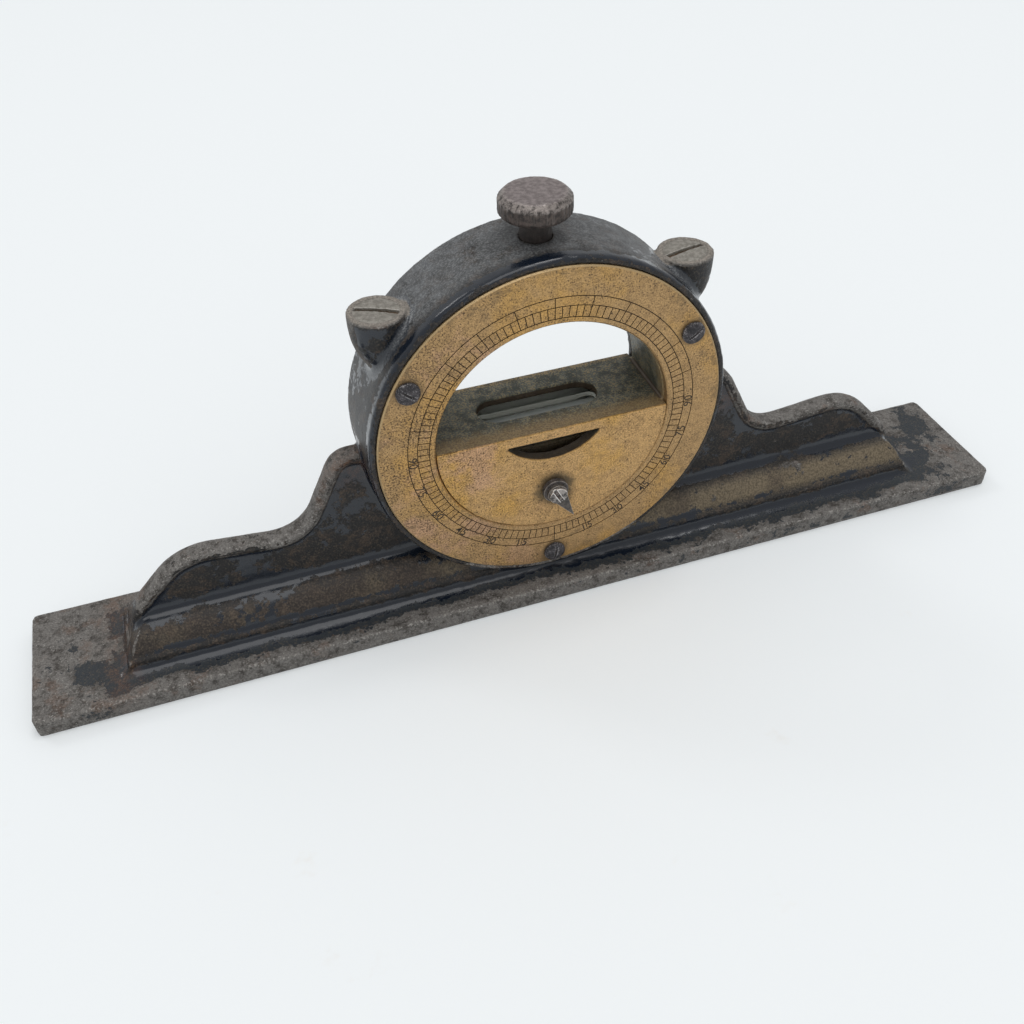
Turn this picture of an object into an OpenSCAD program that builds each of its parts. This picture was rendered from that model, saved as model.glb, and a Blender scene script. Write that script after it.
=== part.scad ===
// Inclinometer: a cast-iron sole with ogee wings and a round ring, in which a brass drum with a
// spirit level turns behind a graduated dial.
// Frame: origin under the middle of the sole, +X along the sole, the dial faces -Y, +Z up.

/* [Sole and foot] */
// Length of the sole
base_l = 254; // [246:1:280]
// Width of the sole
base_w = 34.9; // [31:0.1:42]
// Thickness of the sole
base_t = 4.8; // [4:0.1:7]
// Radius of the sole's corners in plan
base_corner = 1.5; // [1:0.5:6]
// Length of the moulded foot
foot_l = 213; // [208:1:228]
// Width of the moulded foot
foot_w = 23; // [22:0.2:27]
// Height of the upright edge under the cove
foot_edge = 0.3; // [0.2:0.05:0.6]
// Radius of the cove between the sole and the foot
cove_r = 1.8; // [1:0.1:2.2]
// Height of the upright edge above the cove
ledge_h = 0.8; // [0.4:0.1:1.6]
// Width of the sloping ledge
ledge_run = 1.1; // [0.6:0.1:1.4]
// Rise of the sloping ledge
ledge_rise = 0.6; // [0.3:0.1:1]
// Height of the rounded band above the ledge
band_h = 5.7; // [4:0.1:6.2]
// How far the rounded band draws in
band_run = 4.4; // [3.6:0.1:4.8]
// Radius of the rounded band
band_r = 8; // [6:0.5:14]

/* [Wings] */
// Thickness of the upright web of each wing
web_t = 3.6; // [3:0.1:4.2]
// Width of the bead along the top of each wing
bead_w = 5.4; // [4.8:0.1:7]
// Thickness of the bead
bead_t = 2.6; // [2:0.1:3.4]
// Height of the bead where it leaves the ring
wing_z = 47.5; // [44:0.5:52]
// Level length of the bead beside the ring
wing_lead = 2.8; // [1.5:0.1:4]
// Radius of the bead's upper bend
bend_r = 6; // [4:0.5:8]
// Steepness of the bead's drop
drop_angle = 63; // [55:1:70]
// Radius of the hollow below the drop
hollow_r = 10.35; // [8:0.05:12]
// Height of the bottom of the hollow
hollow_z = 27.9; // [25:0.1:31]
// Steepness of the rise to the shoulder
rise_angle = 6; // [3:1:9]
// Radius of the shoulder
shoulder_r = 16; // [12:0.5:18]
// Steepness of the slope outside the shoulder
slope_angle = 46; // [42:1:52]
// Length of the straight slope
slope_l = 8; // [6:0.5:9]
// Radius of the last bend above the foot
heel_r = 12; // [9:0.5:14]
// Steepness of the bead where it meets the foot
heel_angle = 76; // [70:1:82]
// Distance from the foot's end to the bead's end, at the sole
heel_inset = 2.6; // [2:0.1:7]

/* [Ring] */
// Height of the ring's centre above the sole's underside
ring_z = 49.1; // [48.6:0.1:54]
// Outer radius of the ring
ring_r = 42.7; // [42.4:0.1:43.6]
// Depth from the dial's face to the back of the ring
ring_d = 22.8; // [21:0.2:26]
// How far the dial's face stands in front of the sole's middle
face_out = 11.7; // [10.8:0.1:12.4]
// How far the rim round the dial lies behind the dial's face
rim_set = 0.3; // [0.1:0.1:0.8]
// Rounding of the ring's outer edges
ring_round = 1.2; // [0.8:0.1:1.5]
// Radius of the bore in which the drum turns
bore_r = 31.4; // [30.5:0.1:32.5]
// Radius of the round window, in the dial plate and in the lip behind
window_r = 27.9; // [26.5:0.1:28.2]
// Thickness of the lip behind the drum
lip_t = 2.2; // [1.6:0.1:2.8]

/* [Dial] */
// Outer radius of the dial plate
dial_r = 41; // [40.6:0.1:41.3]
// Thickness of the dial plate
dial_t = 2; // [1.6:0.1:2.6]
// Bevel on the dial plate's front edges
dial_bevel = 0.3; // [0.1:0.05:0.5]
// Inner circle of the scale
scale_in_r = 29.3; // [29:0.1:29.6]
// Middle circle of the scale
scale_mid_r = 32; // [31.4:0.1:32.4]
// Outer circle of the scale
scale_out_r = 34.2; // [33.8:0.1:34.4]
// Width of the engraved lines
line_w = 0.2; // [0.15:0.05:0.3]
// Depth of the engraved lines
line_d = 0.12; // [0.1:0.02:0.3]
// Angle between the long divisions of the scale
major_step = 15; // [15,30]
// Small divisions in each long one
minor_count = 5; // [3:1:6]

/* [Screws] */
// Number of screws in the dial plate
dial_screw_n = 3; // [3,4]
// Radius on which the dial screws sit
dial_screw_ring = 37.6; // [37.4:0.1:37.7]
// Radius of a dial screw's head
dial_head_r = 2.7; // [2.2:0.1:3]
// Height of a dial screw's head
dial_head_h = 1.3; // [1:0.1:1.6]
// Radius of a dial screw's shank
dial_shank_r = 1.4; // [1:0.1:1.7]
// Length of a dial screw's shank
dial_shank_l = 7; // [5:0.5:10]
// Width of the slots in the screw heads
slot_w = 0.9; // [0.6:0.1:1.2]
// Depth of the slots in the screw heads
slot_d = 0.7; // [0.5:0.1:0.9]
// Bevel on the screw heads
screw_bevel = 0.3; // [0.1:0.05:0.4]
// Spare depth of a screw hole past the screw's end
hole_spare = 0.5; // [0.2:0.1:0.8]

/* [Lugs] */
// Distance of each lug's axis from the middle
lug_x = 35; // [34.6:0.1:35.6]
// Height of the lugs' flat tops
lug_z = 81.6; // [81:0.1:83]
// Radius of a lug's top
lug_r = 6.3; // [6:0.1:6.8]
// Height of the upright part of a lug
lug_h = 2.6; // [2:0.1:3.5]
// Height of the rounded end below a lug
lug_taper = 11.5; // [10:0.5:13]
// Radius of a lug screw's head
lug_head_r = 4.7; // [4:0.1:5.2]
// Thickness of a lug screw's head
lug_head_h = 2.4; // [1.8:0.1:3]
// Radius of a lug screw's shank
lug_shank_r = 2.4; // [1.8:0.1:2.8]
// Length of a lug screw's shank
lug_shank_l = 4.5; // [3:0.5:5]
// How far the lug screws' slots are turned from the sole's direction
lug_slot_turn = 14; // [-45:1:45]

/* [Clamp] */
// Radius of the clamp knob
knob_r = 7.8; // [7:0.1:9]
// Thickness of the clamp knob
knob_t = 4.7; // [4:0.1:6]
// Bevel on the knob's edges
knob_bevel = 0.8; // [0.4:0.1:1.2]
// Gap between the ring and the knob's underside
knob_gap = 5; // [3.6:0.1:6]
// Number of ribs round the knob's rim
knurl_n = 40; // [24:1:60]
// Depth of the knob's worn ribs
knurl_d = 0.15; // [0.1:0.05:0.3]
// Radius of the screwed stem
stem_r = 3.4; // [3:0.1:3.8]
// Clearance of the stem in its threaded hole, at the radius
thread_gap = 0.08; // [0.05:0.01:0.12]
// Length of the clamp shoe
shoe_l = 4; // [3:0.1:5]
// Gap between the slackened shoe and the drum
shoe_gap = 0.3; // [0.3:0.05:0.5]

/* [Drum] */
// Gap between the drum and the bore, at the radius
drum_fit = 0.1; // [0.06:0.01:0.12]
// Gap at each face of the drum
drum_side_gap = 0.1; // [0.1:0.05:0.3]
// Gap between the drum's faces and the round windows, at the radius
joint_gap = 0.15; // [0.12:0.01:0.3]
// Height of the level plate above the ring's centre
chord_rise = 0.4; // [0:0.1:1]
// Thickness of the level plate
plate_t = 2; // [1.6:0.1:2.4]
// Thickness of the drum's front face
face_t = 3; // [2.6:0.1:3.2]
// Length of the sight slot
sight_l = 29.6; // [26:0.2:31]
// Width of the sight slot
sight_w = 8.9; // [8:0.1:9.4]
// Half width of the crescent window
crescent_w = 11.5; // [9:0.1:12.5]
// Height of the crescent window
crescent_h = 5.65; // [4:0.05:6]
// Depth of the crescent window's straight edge below the ring's centre
crescent_drop = 2.2; // [2:0.05:3]
// Thickness of the back cover
cover_t = 2; // [1.6:0.1:2.4]
// Radius on which the cover screws sit
cover_screw_ring = 24.4; // [24:0.1:24.8]
// Angle between neighbouring cover screws
cover_screw_step = 76; // [74:1:78]
// Radius of a cover screw's head
cover_head_r = 1.9; // [1.6:0.1:2.1]
// Height of a cover screw's head
cover_head_h = 1; // [0.8:0.1:1.2]
// Radius of a cover screw's shank
cover_shank_r = 1; // [0.8:0.1:1.1]
// Length of a cover screw in its post
cover_grip = 4.5; // [3:0.5:6]
// Radius of the posts for the cover screws
post_r = 2.3; // [2:0.1:2.5]

/* [Vial] */
// Radius of the glass vial
vial_r = 4.7; // [4.2:0.1:4.8]
// Length of the glass vial
vial_l = 35; // [33:0.5:36]
// Thickness of the glass
glass_t = 0.8; // [0.6:0.1:1]
// Thickness of the glass at the vial's ends
glass_end_t = 1.5; // [1:0.1:2]
// Inner radius of the brass case
case_bore_r = 5.2; // [5.1:0.05:5.4]
// Wall of the brass case
case_t = 0.9; // [0.7:0.1:1]
// Length of a case cap's plug, between the case's end and the vial
cap_plug_l = 1.45; // [1:0.05:2]
// Thickness of a case cap
cap_t = 1; // [0.8:0.1:1.1]
// Length of the plaster at each end of the vial
bedding_l = 2.4; // [1.5:0.1:2.4]
// Length of the bubble
bubble_l = 9; // [6:0.5:12]
// Distance from the case's end to the middle of a saddle
saddle_inset = 3; // [2.5:0.1:3.5]
// Length of a saddle along the case
saddle_l = 4; // [3.6:0.1:5]
// Height of a saddle below the case
saddle_h = 2.6; // [2:0.1:3]
// Radius of a case screw's head
case_head_r = 1.9; // [1.6:0.1:2]
// Height of a case screw's head
case_head_h = 1.2; // [0.9:0.1:1.4]
// Radius of a case screw's shank
case_shank_r = 1.1; // [0.8:0.1:1.2]

/* [Pointer] */
// Distance of the pointer's screw below the ring's centre
pivot_drop = 17.1; // [16.6:0.1:17.6]
// Length from the screw to the pointer's tip
pointer_l = 9.2; // [7:0.1:9.3]
// Radius of the pointer's round end
pointer_r = 2.4; // [2.2:0.1:2.8]
// Thickness of the pointer
pointer_t = 1; // [0.7:0.1:1.3]
// How far the pointer is swung to the right
pointer_swing = 28; // [-30:1:35]
// Radius of the collar under the pointer
collar_r = 3.1; // [2.8:0.1:3.4]
// Thickness of the collar
collar_t = 1.2; // [0.8:0.1:1.5]
// Radius of the pointer screw's head
pointer_head_r = 2.2; // [1.8:0.1:2.4]
// Height of the pointer screw's head
pointer_head_h = 1.3; // [1:0.1:1.6]
// Radius of the pointer screw's shank
pointer_shank_r = 1.1; // [0.8:0.1:1.3]

/* [Hidden] */
$fn = 64;

// Clearance of a part that is seated but not moving
seat_gap = 0.05;
// Clearance of the glass, the spirit and the plaster in each other
bed_gap = 0.02;
// Overlap that joins two lumps of one casting
join = 1;

// Places along Y, from the dial's face to the back of the ring
face_y = -face_out;
rim_y = face_y + rim_set;
seat_y = face_y + dial_t;
back_y = face_y + ring_d;
lip_y = back_y - lip_t;
drum_front_y = seat_y + drum_side_gap;
drum_back_y = lip_y - drum_side_gap;
web_back_y = face_y + face_t;
cover_y = back_y - cover_t;

// Radii of the drum
drum_r = bore_r - drum_fit;
rotor_r = window_r - joint_gap;

// Heights measured from the ring's centre
plate_top = chord_rise;
plate_under = plate_top - plate_t;
case_r = case_bore_r + case_t;
case_axis = plate_under - case_r - 2 * seat_gap;
case_l = vial_l + 2 * (seat_gap + cap_plug_l);

// Steps of the foot's moulding: distance in from its edge, and height
cove_top = base_t + foot_edge + cove_r;
ledge_in = cove_r + ledge_run;
ledge_top = cove_top + ledge_h;
band_base = ledge_top + ledge_rise;
band_in = ledge_in + band_run;
band_top = band_base + band_h;
upper_cove_r = (foot_w - web_t) / 2 - band_in;

// ---------------------------------------------------------------- outline of a wing
// A path is a list of [length or radius, turn]; a turn of 0 is a straight length, a positive turn
// bends upwards. A state along it is [x, z, heading].
wing_x = ring_r - join;
lead_l = wing_lead + join;
drop_l = (wing_z - hollow_z - (bend_r + hollow_r) * (1 - cos(drop_angle))) / sin(drop_angle);
heel_x = foot_l / 2 - heel_inset;
fixed_run = wing_x + lead_l + bend_r * sin(drop_angle) + drop_l * cos(drop_angle)
    + hollow_r * (sin(drop_angle) + sin(rise_angle))
    + shoulder_r * (sin(rise_angle) + sin(slope_angle)) + slope_l * cos(slope_angle)
    + heel_r * (sin(heel_angle) - sin(slope_angle));
fixed_z = hollow_z + hollow_r * (1 - cos(rise_angle))
    + shoulder_r * (cos(slope_angle) - cos(rise_angle)) - slope_l * sin(slope_angle)
    + heel_r * (cos(heel_angle) - cos(slope_angle));
heel_cot = cos(heel_angle) / sin(heel_angle);
rise_l = (heel_x - fixed_run - (fixed_z - base_t) * heel_cot)
    / (cos(rise_angle) + sin(rise_angle) * heel_cot);
heel_l = (fixed_z + rise_l * sin(rise_angle) - base_t) / sin(heel_angle);
wing_path = [[lead_l, 0], [bend_r, -drop_angle], [drop_l, 0], [hollow_r, drop_angle + rise_angle],
             [rise_l, 0], [shoulder_r, -rise_angle - slope_angle], [slope_l, 0],
             [heel_r, slope_angle - heel_angle], [heel_l + base_t / 2, 0]];
wing_start = [wing_x, wing_z, 0];
arc_step = 9;
bead_step = 36;
moulding_step = 16;
lug_step = 10;

function left_of(h) = [-sin(h), cos(h)];
function along(s, piece, turn) =
    let (h = s[2], side = piece[1] < 0 ? -1 : 1, n = left_of(h), m = left_of(h + turn))
    piece[1] == 0
        ? [s[0] + piece[0] * cos(h), s[1] + piece[0] * sin(h), h]
        : [s[0] + side * piece[0] * (n[0] - m[0]), s[1] + side * piece[0] * (n[1] - m[1]), h + turn];
function states(path, s, i = 0) =
    i == len(path) ? [s] : concat([s], states(path, along(s, path[i], path[i][1]), i + 1));
function arc_states(s, piece) =
    let (n = max(1, ceil(abs(piece[1]) / arc_step)))
    piece[1] == 0 ? [s] : [for (k = [0:n - 1]) along(s, piece, piece[1] * k / n)];
function inset_point(s, d) = [s[0] + d * sin(s[2]), s[1] - d * cos(s[2])];
function path_states(path, start) =
    let (st = states(path, start))
    concat([for (i = [0:len(path) - 1]) each arc_states(st[i], path[i])], [st[len(path)]]);

// ---------------------------------------------------------------- shared forms
// A flat shape in the ring's plane, drawn about the ring's centre, from y0 back to y1
module slab(y0, y1) {
    translate([0, y1, ring_z]) rotate([90, 0, 0]) linear_extrude(height = y1 - y0) children();
}

// A profile of radius and y, turned about the ring's axis
module spun() {
    translate([0, 0, ring_z]) rotate([-90, 0, 0]) rotate_extrude() children();
}

// A round bar along Y at (x, z) from the ring's centre
module bar_y(r, y0, y1, x = 0, z = 0) {
    translate([x, y0, ring_z + z]) rotate([-90, 0, 0]) cylinder(r = r, h = y1 - y0);
}

// A round bar along X on the vial's axis
module bar_x(r, x0, x1) {
    translate([x0, 0, ring_z + case_axis]) rotate([0, 90, 0]) cylinder(r = r, h = x1 - x0);
}

// A rectangle from corner to corner
module box_2d(x0, y0, x1, y1) {
    translate([x0, y0]) square([x1 - x0, y1 - y0]);
}

// A rectangle about the origin with rounded corners
module round_rect(l, w, r) {
    square([l - 2 * r, w], center = true);
    square([l, w - 2 * r], center = true);
    for (x = [-1, 1], y = [-1, 1]) translate([x * (l / 2 - r), y * (w / 2 - r)]) circle(r = r);
}

// A slotted screw standing on the origin: its head above, its shank below
module slotted_screw(head_r, head_h, shank_r, shank_l, bevel = screw_bevel) {
    difference() {
        rotate_extrude() polygon([[0, 0], [head_r, 0], [head_r, head_h - bevel],
                                  [head_r - bevel, head_h], [0, head_h]]);
        translate([-head_r - join, -slot_w / 2, head_h - slot_d])
            cube([2 * (head_r + join), slot_w, slot_d + join]);
    }
    translate([0, 0, -shank_l]) cylinder(r = shank_r, h = shank_l);
}

// Turns a screw so that its head faces the viewer of the dial, at (x, z) from the ring's centre
module facing_front(x, y, z, turn = 0) {
    translate([x, y, ring_z + z]) rotate([90, 0, 0]) rotate([0, 0, turn]) children();
}

// ---------------------------------------------------------------- casting
// Points along an arc about (x, y), from angle a0 to a1
function arc(x, y, r, a0, a1) =
    let (n = ceil(abs(a1 - a0) / moulding_step))
    [for (k = [0:n]) let (a = a0 + (a1 - a0) * k / n) [x + r * cos(a), y + r * sin(a)]];

// Half of the foot's moulded section, for a foot of width w: cove, ledge, rounded band and upper cove
module moulding_half(w) {
    edge = w / 2;
    chord = norm([band_run, band_h]);
    lean = atan2(band_h, band_run);
    sweep = asin(chord / 2 / band_r);
    sink = band_r * cos(sweep);
    band_x = edge - ledge_in - band_run / 2 - sink * sin(lean);
    band_z = band_base + band_h / 2 - sink * cos(lean);
    polygon(concat([[0, base_t / 2], [edge, base_t / 2]],
                   arc(edge, cove_top, cove_r, 270, 180),
                   [[edge - cove_r, ledge_top]],
                   arc(band_x, band_z, band_r, 90 - lean - sweep, 90 - lean + sweep),
                   arc(edge - band_in, band_top + upper_cove_r, upper_cove_r, 270, 180),
                   [[0, band_top + upper_cove_r]]));
}

module moulding(w, l) {
    rotate([90, 0, 90]) translate([0, 0, -l / 2]) linear_extrude(height = l) {
        moulding_half(w);
        mirror([1, 0]) moulding_half(w);
    }
}

// The foot: the same moulding along its sides and across its ends
module foot() {
    intersection() {
        moulding(foot_w, foot_l);
        rotate([0, 0, 90]) moulding(foot_l, foot_w);
    }
}

// Section of the bead as [depth, y], hanging below the line it follows
function bead_section() =
    let (r = bead_t / 2, flat = bead_w / 2 - r)
    [for (side = [1, -1]) for (a = [0:bead_step:180]) [r * (1 - side * cos(a)), side * (flat + r * sin(a))]];

// The bead: its section swept along the wing's outline
module bead() {
    at = path_states(wing_path, wing_start);
    section = bead_section();
    n = len(section);
    last = (len(at) - 1) * n;
    polyhedron(
        points = [for (s = at) for (q = section) let (e = inset_point(s, q[0])) [e[0], q[1], e[1]]],
        faces = concat(
            [[for (k = [n - 1:-1:0]) k], [for (k = [0:n - 1]) last + k]],
            [for (i = [0:n:last - n]) for (k = [0:n - 1])
                let (m = (k + 1) % n) [i + k, i + m, i + n + m, i + n + k]]));
}

// The web under the bead, cut clear of the ring's bore
module web() {
    outline = [for (s = path_states(wing_path, wing_start)) inset_point(s, bead_t / 2)];
    last = outline[len(outline) - 1];
    translate([0, web_t / 2]) rotate([90, 0, 0]) linear_extrude(height = web_t) difference() {
        polygon(concat([[0, base_t / 2], [0, outline[0][1]]], outline, [[last[0], base_t / 2]]));
        translate([0, ring_z]) circle(r = ring_r - join);
    }
}

// Profile of the ring, as radius and y, before the seat for the dial plate is cut
module ring_profile() {
    box_2d(bore_r, rim_y, ring_r - ring_round, back_y);
    box_2d(bore_r, rim_y + ring_round, ring_r, back_y - ring_round);
    for (y = [rim_y + ring_round, back_y - ring_round])
        translate([ring_r - ring_round, y]) circle(r = ring_round);
    box_2d(window_r, lip_y, bore_r + join, back_y);
}

// A side lug: an upright round boss that is rounded off below, where it dies into the ring's flank
module lug() {
    translate([lug_x, 0, lug_z - lug_h]) rotate_extrude()
        polygon(concat([[0, lug_h], [0, -lug_taper]],
                       [for (a = [90 - lug_step:-lug_step:0]) [lug_r * cos(a), -lug_taper * sin(a)]],
                       [[lug_r, lug_h]]));
}

module dial_screw_places() {
    for (k = [0:dial_screw_n - 1]) let (a = -90 + k * 360 / dial_screw_n, $slot_turn = 40 * k)
        translate([dial_screw_ring * cos(a), 0, dial_screw_ring * sin(a)]) children();
}

module body_casting() {
    color([0.2, 0.2, 0.22]) difference() {
        union() {
            linear_extrude(height = base_t) round_rect(base_l, base_w, base_corner);
            foot();
            spun() ring_profile();
            for (side = [0, 1]) mirror([side, 0, 0]) {
                web();
                bead();
                lug();
            }
        }
        bar_y(dial_r + seat_gap, face_y - join, seat_y);
        bar_y(bore_r, seat_y - join, lip_y);
        bar_y(window_r, seat_y - join, back_y + join);
        dial_screw_places() bar_y(dial_shank_r, seat_y - join, seat_y + dial_shank_l);
        translate([0, 0, ring_z + bore_r - join]) cylinder(r = stem_bore_r, h = ring_r - bore_r + 2 * join);
        for (side = [-1, 1]) translate([side * lug_x, 0, lug_z]) {
            translate([0, 0, -lug_head_h]) cylinder(r = lug_head_r + seat_gap, h = lug_head_h + join);
            translate([0, 0, -lug_head_h - lug_shank_l]) cylinder(r = lug_shank_r, h = lug_head_h + lug_shank_l);
        }
    }
}

module lug_screw(side) {
    color([0.55, 0.53, 0.5]) translate([side * lug_x, 0, lug_z - lug_head_h]) rotate([0, 0, lug_slot_turn * side])
        slotted_screw(lug_head_r, lug_head_h, lug_shank_r, lug_shank_l, screw_bevel / 3);
}
module lug_screw_left() { lug_screw(-1); }
module lug_screw_right() { lug_screw(1); }

// ---------------------------------------------------------------- dial
// One engraved line of the scale, from radius r0 to r1 at angle a
module division(a, r0, r1) {
    rotate([0, 0, a]) translate([r0, -line_w / 2]) square([r1 - r0, line_w]);
}

module scale_lines() {
    minor_step = major_step / minor_count;
    for (r = [scale_in_r, scale_mid_r, scale_out_r]) difference() {
        circle(r = r + line_w / 2);
        circle(r = r - line_w / 2);
    }
    for (a = [0:minor_step:360 - minor_step]) division(a, scale_in_r, scale_mid_r);
    for (a = [0:major_step:360 - major_step]) division(a, scale_mid_r, scale_out_r);
}

module dial_plate() {
    color([0.72, 0.58, 0.33]) difference() {
        spun() polygon([[window_r, seat_y], [dial_r, seat_y], [dial_r, face_y + dial_bevel],
                        [dial_r - dial_bevel, face_y], [window_r + dial_bevel, face_y],
                        [window_r, face_y + dial_bevel]]);
        dial_screw_places() bar_y(dial_shank_r, face_y - join, seat_y + join);
        slab(face_y - join, face_y + line_d) scale_lines();
    }
}

module dial_screws() {
    color([0.25, 0.23, 0.22]) dial_screw_places() facing_front(0, face_y, 0, $slot_turn)
        slotted_screw(dial_head_r, dial_head_h, dial_shank_r, dial_t + dial_shank_l - hole_spare);
}

// ---------------------------------------------------------------- clamp
stem_bore_r = stem_r + thread_gap;
shoe_top = bore_r + shoe_l;
knob_z = ring_z + ring_r + knob_gap;

// The knob, its neck and its stem, ending just above the shoe
module clamp_knob() {
    color([0.4, 0.36, 0.34]) {
        difference() {
            translate([0, 0, knob_z]) rotate_extrude()
                polygon([[0, 0], [knob_r - knob_bevel, 0], [knob_r, knob_bevel],
                         [knob_r, knob_t - knob_bevel], [knob_r - knob_bevel, knob_t], [0, knob_t]]);
            for (k = [0:knurl_n - 1]) rotate([0, 0, k * 360 / knurl_n])
                translate([knob_r - knurl_d, 0, knob_z - join]) rotate([0, 0, -45])
                    cube([knob_r, knob_r, knob_t + 2 * join]);
        }
        translate([0, 0, ring_z + shoe_top + seat_gap])
            cylinder(r = stem_r, h = knob_z - ring_z - shoe_top - seat_gap + join);
    }
}

module clamp_shoe() {
    color([0.7, 0.56, 0.32]) difference() {
        translate([0, 0, ring_z + drum_r]) cylinder(r = stem_r, h = shoe_top - drum_r);
        bar_y(drum_r + shoe_gap, -2 * stem_r, 2 * stem_r);
    }
}

// ---------------------------------------------------------------- drum
// The part of a disc of radius r below the height top, from y0 to y1
module half_disc(r, y0, y1, top, bottom = -2 * ring_r) {
    slab(y0, y1) intersection() {
        circle(r = r);
        box_2d(-2 * r, bottom, 2 * r, top);
    }
}

module crescent() {
    r = (crescent_w * crescent_w + crescent_h * crescent_h) / (2 * crescent_h);
    intersection() {
        translate([0, r - crescent_h - crescent_drop]) circle(r = r);
        box_2d(-crescent_w, -crescent_drop - crescent_h - join, crescent_w, -crescent_drop);
    }
}

// A round-ended slot through the level plate or the case
module sight(l, w, z0, z1) {
    translate([0, 0, ring_z + z0]) linear_extrude(height = z1 - z0) round_rect(l, w, w / 2 - 0.01);
}

module cover_screw_places() {
    for (k = [-1:1]) let (a = -90 + k * cover_screw_step)
        translate([cover_screw_ring * cos(a), 0, cover_screw_ring * sin(a)]) children();
}

saddle_x = case_l / 2 - saddle_inset;
saddle_under = case_axis - case_r - saddle_h;

module level_drum() {
    color([0.6, 0.55, 0.35]) difference() {
        union() {
            difference() {
                bar_y(drum_r, drum_front_y, drum_back_y);
                bar_y(rotor_r, drum_front_y - join, drum_back_y + join);
            }
            half_disc(rotor_r, face_y, drum_front_y, plate_top);
            half_disc(rotor_r + join, drum_front_y, web_back_y, plate_top);
            half_disc(rotor_r + join, web_back_y, drum_back_y, plate_top, plate_under);
            half_disc(rotor_r, drum_back_y, back_y, plate_top, plate_under);
            cover_screw_places() bar_y(post_r, web_back_y - join, cover_y);
            for (side = [-1, 1]) translate([side * saddle_x - saddle_l / 2, web_back_y - join, ring_z + saddle_under])
                cube([saddle_l, case_r - web_back_y + join, case_axis - saddle_under]);
        }
        bar_x(case_r + seat_gap, -case_l / 2 - cap_t - seat_gap, case_l / 2 + cap_t + seat_gap);
        slab(face_y - join, web_back_y + join) crescent();
        sight(sight_l, sight_w, plate_under - join, plate_top + join);
        cover_screw_places() bar_y(cover_shank_r, cover_y - cover_grip - hole_spare, cover_y + join);
        bar_y(pointer_shank_r, face_y - join, web_back_y + join, 0, -pivot_drop);
        for (side = [-1, 1]) translate([side * saddle_x, 0, ring_z + saddle_under - join])
            cylinder(r = case_shank_r, h = case_axis - saddle_under);
    }
}

module back_cover() {
    color([0.66, 0.55, 0.33]) difference() {
        half_disc(rotor_r, cover_y, back_y, plate_under - seat_gap);
        cover_screw_places() bar_y(cover_shank_r, cover_y - join, back_y + join);
    }
}

module cover_screws() {
    color([0.3, 0.28, 0.26]) cover_screw_places()
        translate([0, back_y, ring_z]) rotate([-90, 0, 0])
            slotted_screw(cover_head_r, cover_head_h, cover_shank_r, cover_t + cover_grip);
}

// ---------------------------------------------------------------- vial
module vial_case() {
    color([0.7, 0.57, 0.32]) difference() {
        bar_x(case_r, -case_l / 2, case_l / 2);
        bar_x(case_bore_r, -case_l / 2 - join, case_l / 2 + join);
        sight(sight_l, sight_w, case_axis, plate_under);
        slab(-case_r - join, 0) box_2d(-crescent_w, -crescent_drop - crescent_h, crescent_w, -crescent_drop);
        for (side = [-1, 1]) translate([side * saddle_x, 0, ring_z + case_axis - case_r - join])
            cylinder(r = case_shank_r, h = case_r);
    }
}

module case_cap(side) {
    color([0.68, 0.55, 0.3]) mirror([side < 0 ? 1 : 0, 0, 0]) {
        bar_x(case_r, case_l / 2, case_l / 2 + cap_t);
        bar_x(case_bore_r, vial_l / 2 + seat_gap, case_l / 2);
    }
}
module case_cap_left() { case_cap(-1); }
module case_cap_right() { case_cap(1); }

module case_screw(side) {
    color([0.45, 0.42, 0.4]) translate([side * saddle_x, 0, ring_z + saddle_under]) mirror([0, 0, 1])
        slotted_screw(case_head_r, case_head_h, case_shank_r, case_axis - case_bore_r - saddle_under - 2 * seat_gap);
}
module case_screw_left() { case_screw(-1); }
module case_screw_right() { case_screw(1); }

module vial_glass() {
    color([0.8, 0.86, 0.84, 0.5]) difference() {
        bar_x(vial_r, -vial_l / 2, vial_l / 2);
        bar_x(vial_r - glass_t, -vial_l / 2 + glass_end_t, vial_l / 2 - glass_end_t);
    }
}

// The spirit fills the vial but for the bubble under the top of the glass
module vial_spirit() {
    inner_r = vial_r - glass_t - bed_gap;
    inner_l = vial_l - 2 * (glass_end_t + bed_gap);
    bubble_r = 0.55 * inner_r;
    color([0.8, 0.85, 0.6, 0.6]) difference() {
        bar_x(inner_r, -inner_l / 2, inner_l / 2);
        translate([-bubble_l / 2, 0, ring_z + case_axis + inner_r]) rotate([0, 90, 0])
            cylinder(r = bubble_r, h = bubble_l);
    }
}

module bedding(side) {
    color([0.85, 0.83, 0.78]) mirror([side < 0 ? 1 : 0, 0, 0]) difference() {
        bar_x(case_bore_r - bed_gap, vial_l / 2 - bedding_l, vial_l / 2);
        bar_x(vial_r + bed_gap, vial_l / 2 - bedding_l - join, vial_l / 2 + join);
    }
}
module bedding_left() { bedding(-1); }
module bedding_right() { bedding(1); }

// ---------------------------------------------------------------- pointer
module pointer_collar() {
    color([0.22, 0.22, 0.23]) difference() {
        bar_y(collar_r, face_y - collar_t, face_y, 0, -pivot_drop);
        bar_y(pointer_shank_r, face_y - collar_t - join, face_y + join, 0, -pivot_drop);
    }
}

// A round end drawn out to a point
module arrow() {
    neck = 0.94 * pointer_r;
    difference() {
        union() {
            circle(r = pointer_r);
            polygon([[-neck, 0], [0, -pointer_l], [neck, 0]]);
        }
        circle(r = pointer_shank_r + seat_gap);
    }
}

pointer_y = face_y - collar_t - seat_gap;

module index_pointer() {
    color([0.24, 0.24, 0.26]) facing_front(0, pointer_y, -pivot_drop, pointer_swing)
        linear_extrude(height = pointer_t) arrow();
}

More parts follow.
